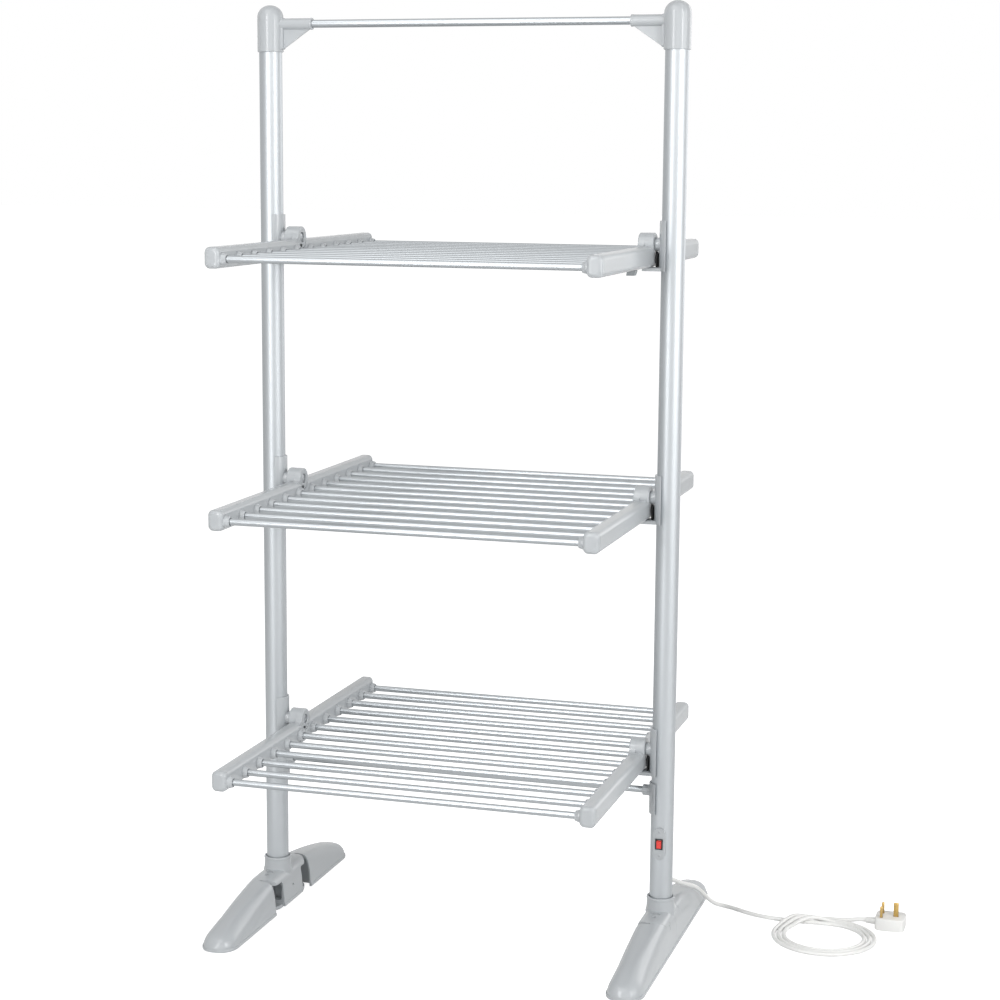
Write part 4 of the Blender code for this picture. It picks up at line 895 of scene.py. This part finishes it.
def foot_half_form():
    """One folding half of a foot: a hollow arched shell with a rib, its hinge tongue and a pad boss."""
    hollow_start, hollow_end = 0.0700, FOOT_HALF - 0.012
    half = carve(foot_skin(0.0004, FOOT_HALF, base=FOOT_BASE, lip=True),
                 foot_skin(hollow_start, hollow_end, FOOT_WALL, -0.002))
    half = carve(half, block_of((-0.0010, -0.002, -0.004), (0.08, RECESS_END, 0.064)))
    # Room for the hub's lobes: full at its plate and its canopy, smaller between them
    lap, clear = 0.0003, 0.0004
    for bottom, top, lobe in ((-0.006, FORK_LOW + lap, CANOPY_RADIUS),
                              (FORK_LOW + 0.0002, FORK_HIGH - 0.0002, HINGE_ROOM),
                              (FORK_HIGH - lap, 0.066, CANOPY_RADIUS)):
        half = carve(half, hub_plan(clear, bottom, top, lobe))
    rib_start, rib_end = 0.0925, 0.0950
    add_form(half, carve(foot_skin(rib_start, rib_end, FOOT_WALL / 2, FOOT_BASE),
                         block_of((-0.04, 0.09, -0.01), (0.04, 0.1, 0.07)), "INTERSECT"))
    barrel_radius, play = 0.0088, 0.0005
    low, high = FORK_LOW + play, FORK_HIGH - play
    add_form(half, block_of((-0.0060, HINGE_PLACE, low), (-0.0012, 0.0930, high)))
    add_form(half, upright_rod(0, HINGE_PLACE, barrel_radius, low, high))
    boss_top = foot_top(PAD_PLACE + PAD_BOSS_RADIUS) - FOOT_WALL
    add_form(half, upright_rod(0, PAD_PLACE, PAD_BOSS_RADIUS, 0.0043, boss_top))
    return half


def feet():
    """Both feet: each a hub with its collar and two folding halves."""
    hub_shape, half_shape = hub_form(), foot_half_form()
    for side in (LEFT, RIGHT):
        name = "foot_hub_" + SIDE_NAMES[side]
        hub = piece_from("moulded_" + name, to_corner(hub_shape.copy(), side), "moulding", "stand",
                         stands_for=(name,))
        mould_edges(hub, FOOT_EDGE)
        piece_from("post_collar_" + SIDE_NAMES[side], to_corner(hub_collar(), side), "moulding",
                   "stand", stands_for=(name,))
        for wing in (FRONT, REAR):
            label = "%s_%s" % (WING_NAMES[wing], SIDE_NAMES[side])
            half = piece_from("folding_foot_" + label, to_corner(half_shape.copy(), side, wing),
                              "moulding", "foot_half_" + label, stands_for=("foot_" + label,))
            mould_edges(half, FOOT_EDGE)
    hub_shape.free()
    half_shape.free()


def rail_clip():
    """The small clip under the right rail of the top front wing, narrower at its foot; its darker grey
    is painted shade.
    """
    middle = (RAIL_INNER + RAIL_OUTER) / 2
    top = PIVOTS["top"] + RAIL_TOP - RAIL_HEIGHT - 0.0003
    foot = top - 0.0078
    outline = [(middle - 0.0065, top), (middle + 0.0062, top), (middle + 0.0040, foot),
               (middle - 0.0082, foot)]
    front, back, soft = -0.106, -0.090, 0.0008
    bm = rounded_prism(outline, front, back, soft, "Y")
    piece_from("tapered_rail_clip", bm, "clip", "wing_top_front", stands_for=("rail_clip",))


def plate_screws():
    """The two small screws of the switch plate, over and under the rocker."""
    face, radius = SWITCH_FACE - 0.0004, 0.0018
    for level, name in ((SWITCH_HEIGHT + 0.0195, "upper"), (SWITCH_HEIGHT - 0.0195, "lower")):
        bm = bmesh.new()
        turn(bm, (POST_X, face, level), (POST_X, 0, level),
             [(0.0005, 0), (0.0005, 0.0006), (0.0, 0.0008), (0.0001, 0.0014), (0.0006, radius),
              (0.0012, radius)], 24)
        piece_from("plate_screw_" + name, bm, "steel_pin", "stand")


# The CAD's own pieces in their finishes

def carried_over():
    """Brackets, saddles, foot pads and pins, leads, switch and plug keep their CAD form."""
    for side in SIDE_NAMES.values():
        softened("rod_saddle_" + side, "moulding", 0.0008)
        for tier in PIVOTS:
            softened("tier_bracket_%s_%s" % (tier, side), "moulding", 0.0009)
        for wing in WING_NAMES.values():
            softened("foot_pad_%s_%s" % (wing, side), "rubber_pad", 0.0008)
            softened("foot_pin_%s_%s" % (wing, side), "steel_pin", 0.0005)
    for tier in PIVOTS:
        softened("tier_lead_" + tier, "black_lead", 0.0001, 1)
    softened("switch_plate", "moulding", 0.0005)
    softened("switch_housing", "black_moulding", 0.0003)
    softened("switch_rocker", "red_lens", 0.0003)
    softened("mains_plug", "white_cord", 0.0012)
    for pin in ("live", "neutral", "earth"):
        softened("plug_pin_" + pin, "plug_brass", 0.0003)


# Studio

def studio():
    """A white floor that keeps a soft shadow, a white world, and soft lamps with two tall strips."""
    world_light, floor_glow, mirrored_glow, floor_half = 0.25, 0.88, 0.45, 40
    world = bpy.data.worlds.new("studio")
    bpy.context.scene.world = world
    world.use_nodes = True
    tree = world.node_tree
    tree.nodes.clear()
    path = add_node(tree, "ShaderNodeLightPath")
    seen = add_node(tree, "ShaderNodeMath", operation="MAXIMUM",
                    links={0: path.outputs["Is Camera Ray"], 1: path.outputs["Is Glossy Ray"]})
    shown = add_node(tree, "ShaderNodeMath", operation="MAXIMUM",
                     links={0: seen.outputs[0], 1: path.outputs["Is Transmission Ray"]})
    strength = add_node(tree, "ShaderNodeMapRange", {"To Min": world_light, "To Max": 1.0},
                        {"Value": shown.outputs[0]})
    light = add_node(tree, "ShaderNodeBackground", {"Color": linear("#FFFFFF")},
                     {"Strength": strength.outputs[0]})
    add_node(tree, "ShaderNodeOutputWorld", links={"Surface": light.outputs[0]})

    floor_material = bpy.data.materials.new("white_floor")
    floor_material.use_nodes = True
    tree = floor_material.node_tree
    tree.nodes.clear()
    path = add_node(tree, "ShaderNodeLightPath")
    paint = add_node(tree, "ShaderNodeBsdfDiffuse", {"Color": linear("#E2E2E2")})
    mirrored = add_node(tree, "ShaderNodeMath", {1: mirrored_glow}, {0: path.outputs["Is Glossy Ray"]},
                        operation="MULTIPLY")
    glow_strength = add_node(tree, "ShaderNodeMath", {1: floor_glow},
                             {0: path.outputs["Is Camera Ray"], 2: mirrored.outputs[0]},
                             operation="MULTIPLY_ADD")
    glow = add_node(tree, "ShaderNodeEmission", {"Color": linear("#FFFFFF")},
                    {"Strength": glow_strength.outputs[0]})
    both = add_node(tree, "ShaderNodeAddShader", links={0: paint.outputs[0], 1: glow.outputs[0]})
    add_node(tree, "ShaderNodeOutputMaterial", links={"Surface": both.outputs[0]})
    mesh = bpy.data.meshes.new("floor")
    corners = ((-1, -1), (1, -1), (1, 1), (-1, 1))
    mesh.from_pydata([(x * floor_half, y * floor_half, 0) for x, y in corners], [], [(0, 1, 2, 3)])
    mesh.materials.append(floor_material)
    floor = bpy.data.objects.new("floor", mesh)
    bpy.context.scene.collection.objects.link(floor)

    # Each lamp's place, aim, width, height and power in watts
    lamps = (("left strip", (-0.71, -2.62, 1.55), (0, 0, 0.9), 0.55, 2.5, 33),
             ("right strip", (2.45, -1.59, 1.68), (0, 0, 1.2), 0.36, 2.2, 26),
             ("front panel", (1.16, -4.04, 1.80), (0, 0, 0.9), 3.0, 2.0, 19),
             ("side panel", (2.30, -0.45, 1.15), (0, 0, 0.9), 1.2, 1.5, 12.5),
             ("back panel", (2.00, 2.80, 1.60), (0, 0, 0.9), 1.8, 2.4, 20),
             ("top panel", (-0.50, -1.30, 3.20), (0.2, 0, 0.2), 2.0, 1.4, 15))
    for name, place, aim, wide, tall, power in lamps:
        lamp = bpy.data.lights.new(name, "AREA")
        lamp.shape = "RECTANGLE"
        lamp.size, lamp.size_y = wide, tall
        lamp.energy = power
        holder = bpy.data.objects.new(name, lamp)
        holder.location = place
        holder.rotation_euler = (Vector(aim) - Vector(place)).to_track_quat("-Z", "Y").to_euler()
        bpy.context.scene.collection.objects.link(holder)
    bpy.context.scene.view_settings.view_transform = "Standard"


set_camera()
cord = mains_cord()
relief = strain_relief()
for side in (LEFT, RIGHT):
    post(side)
    corner_cap(side)
hanging_bar()
cross_rod()
wings()
pivot_pins()
feet()
rail_clip()
plate_screws()
carried_over()
studio()
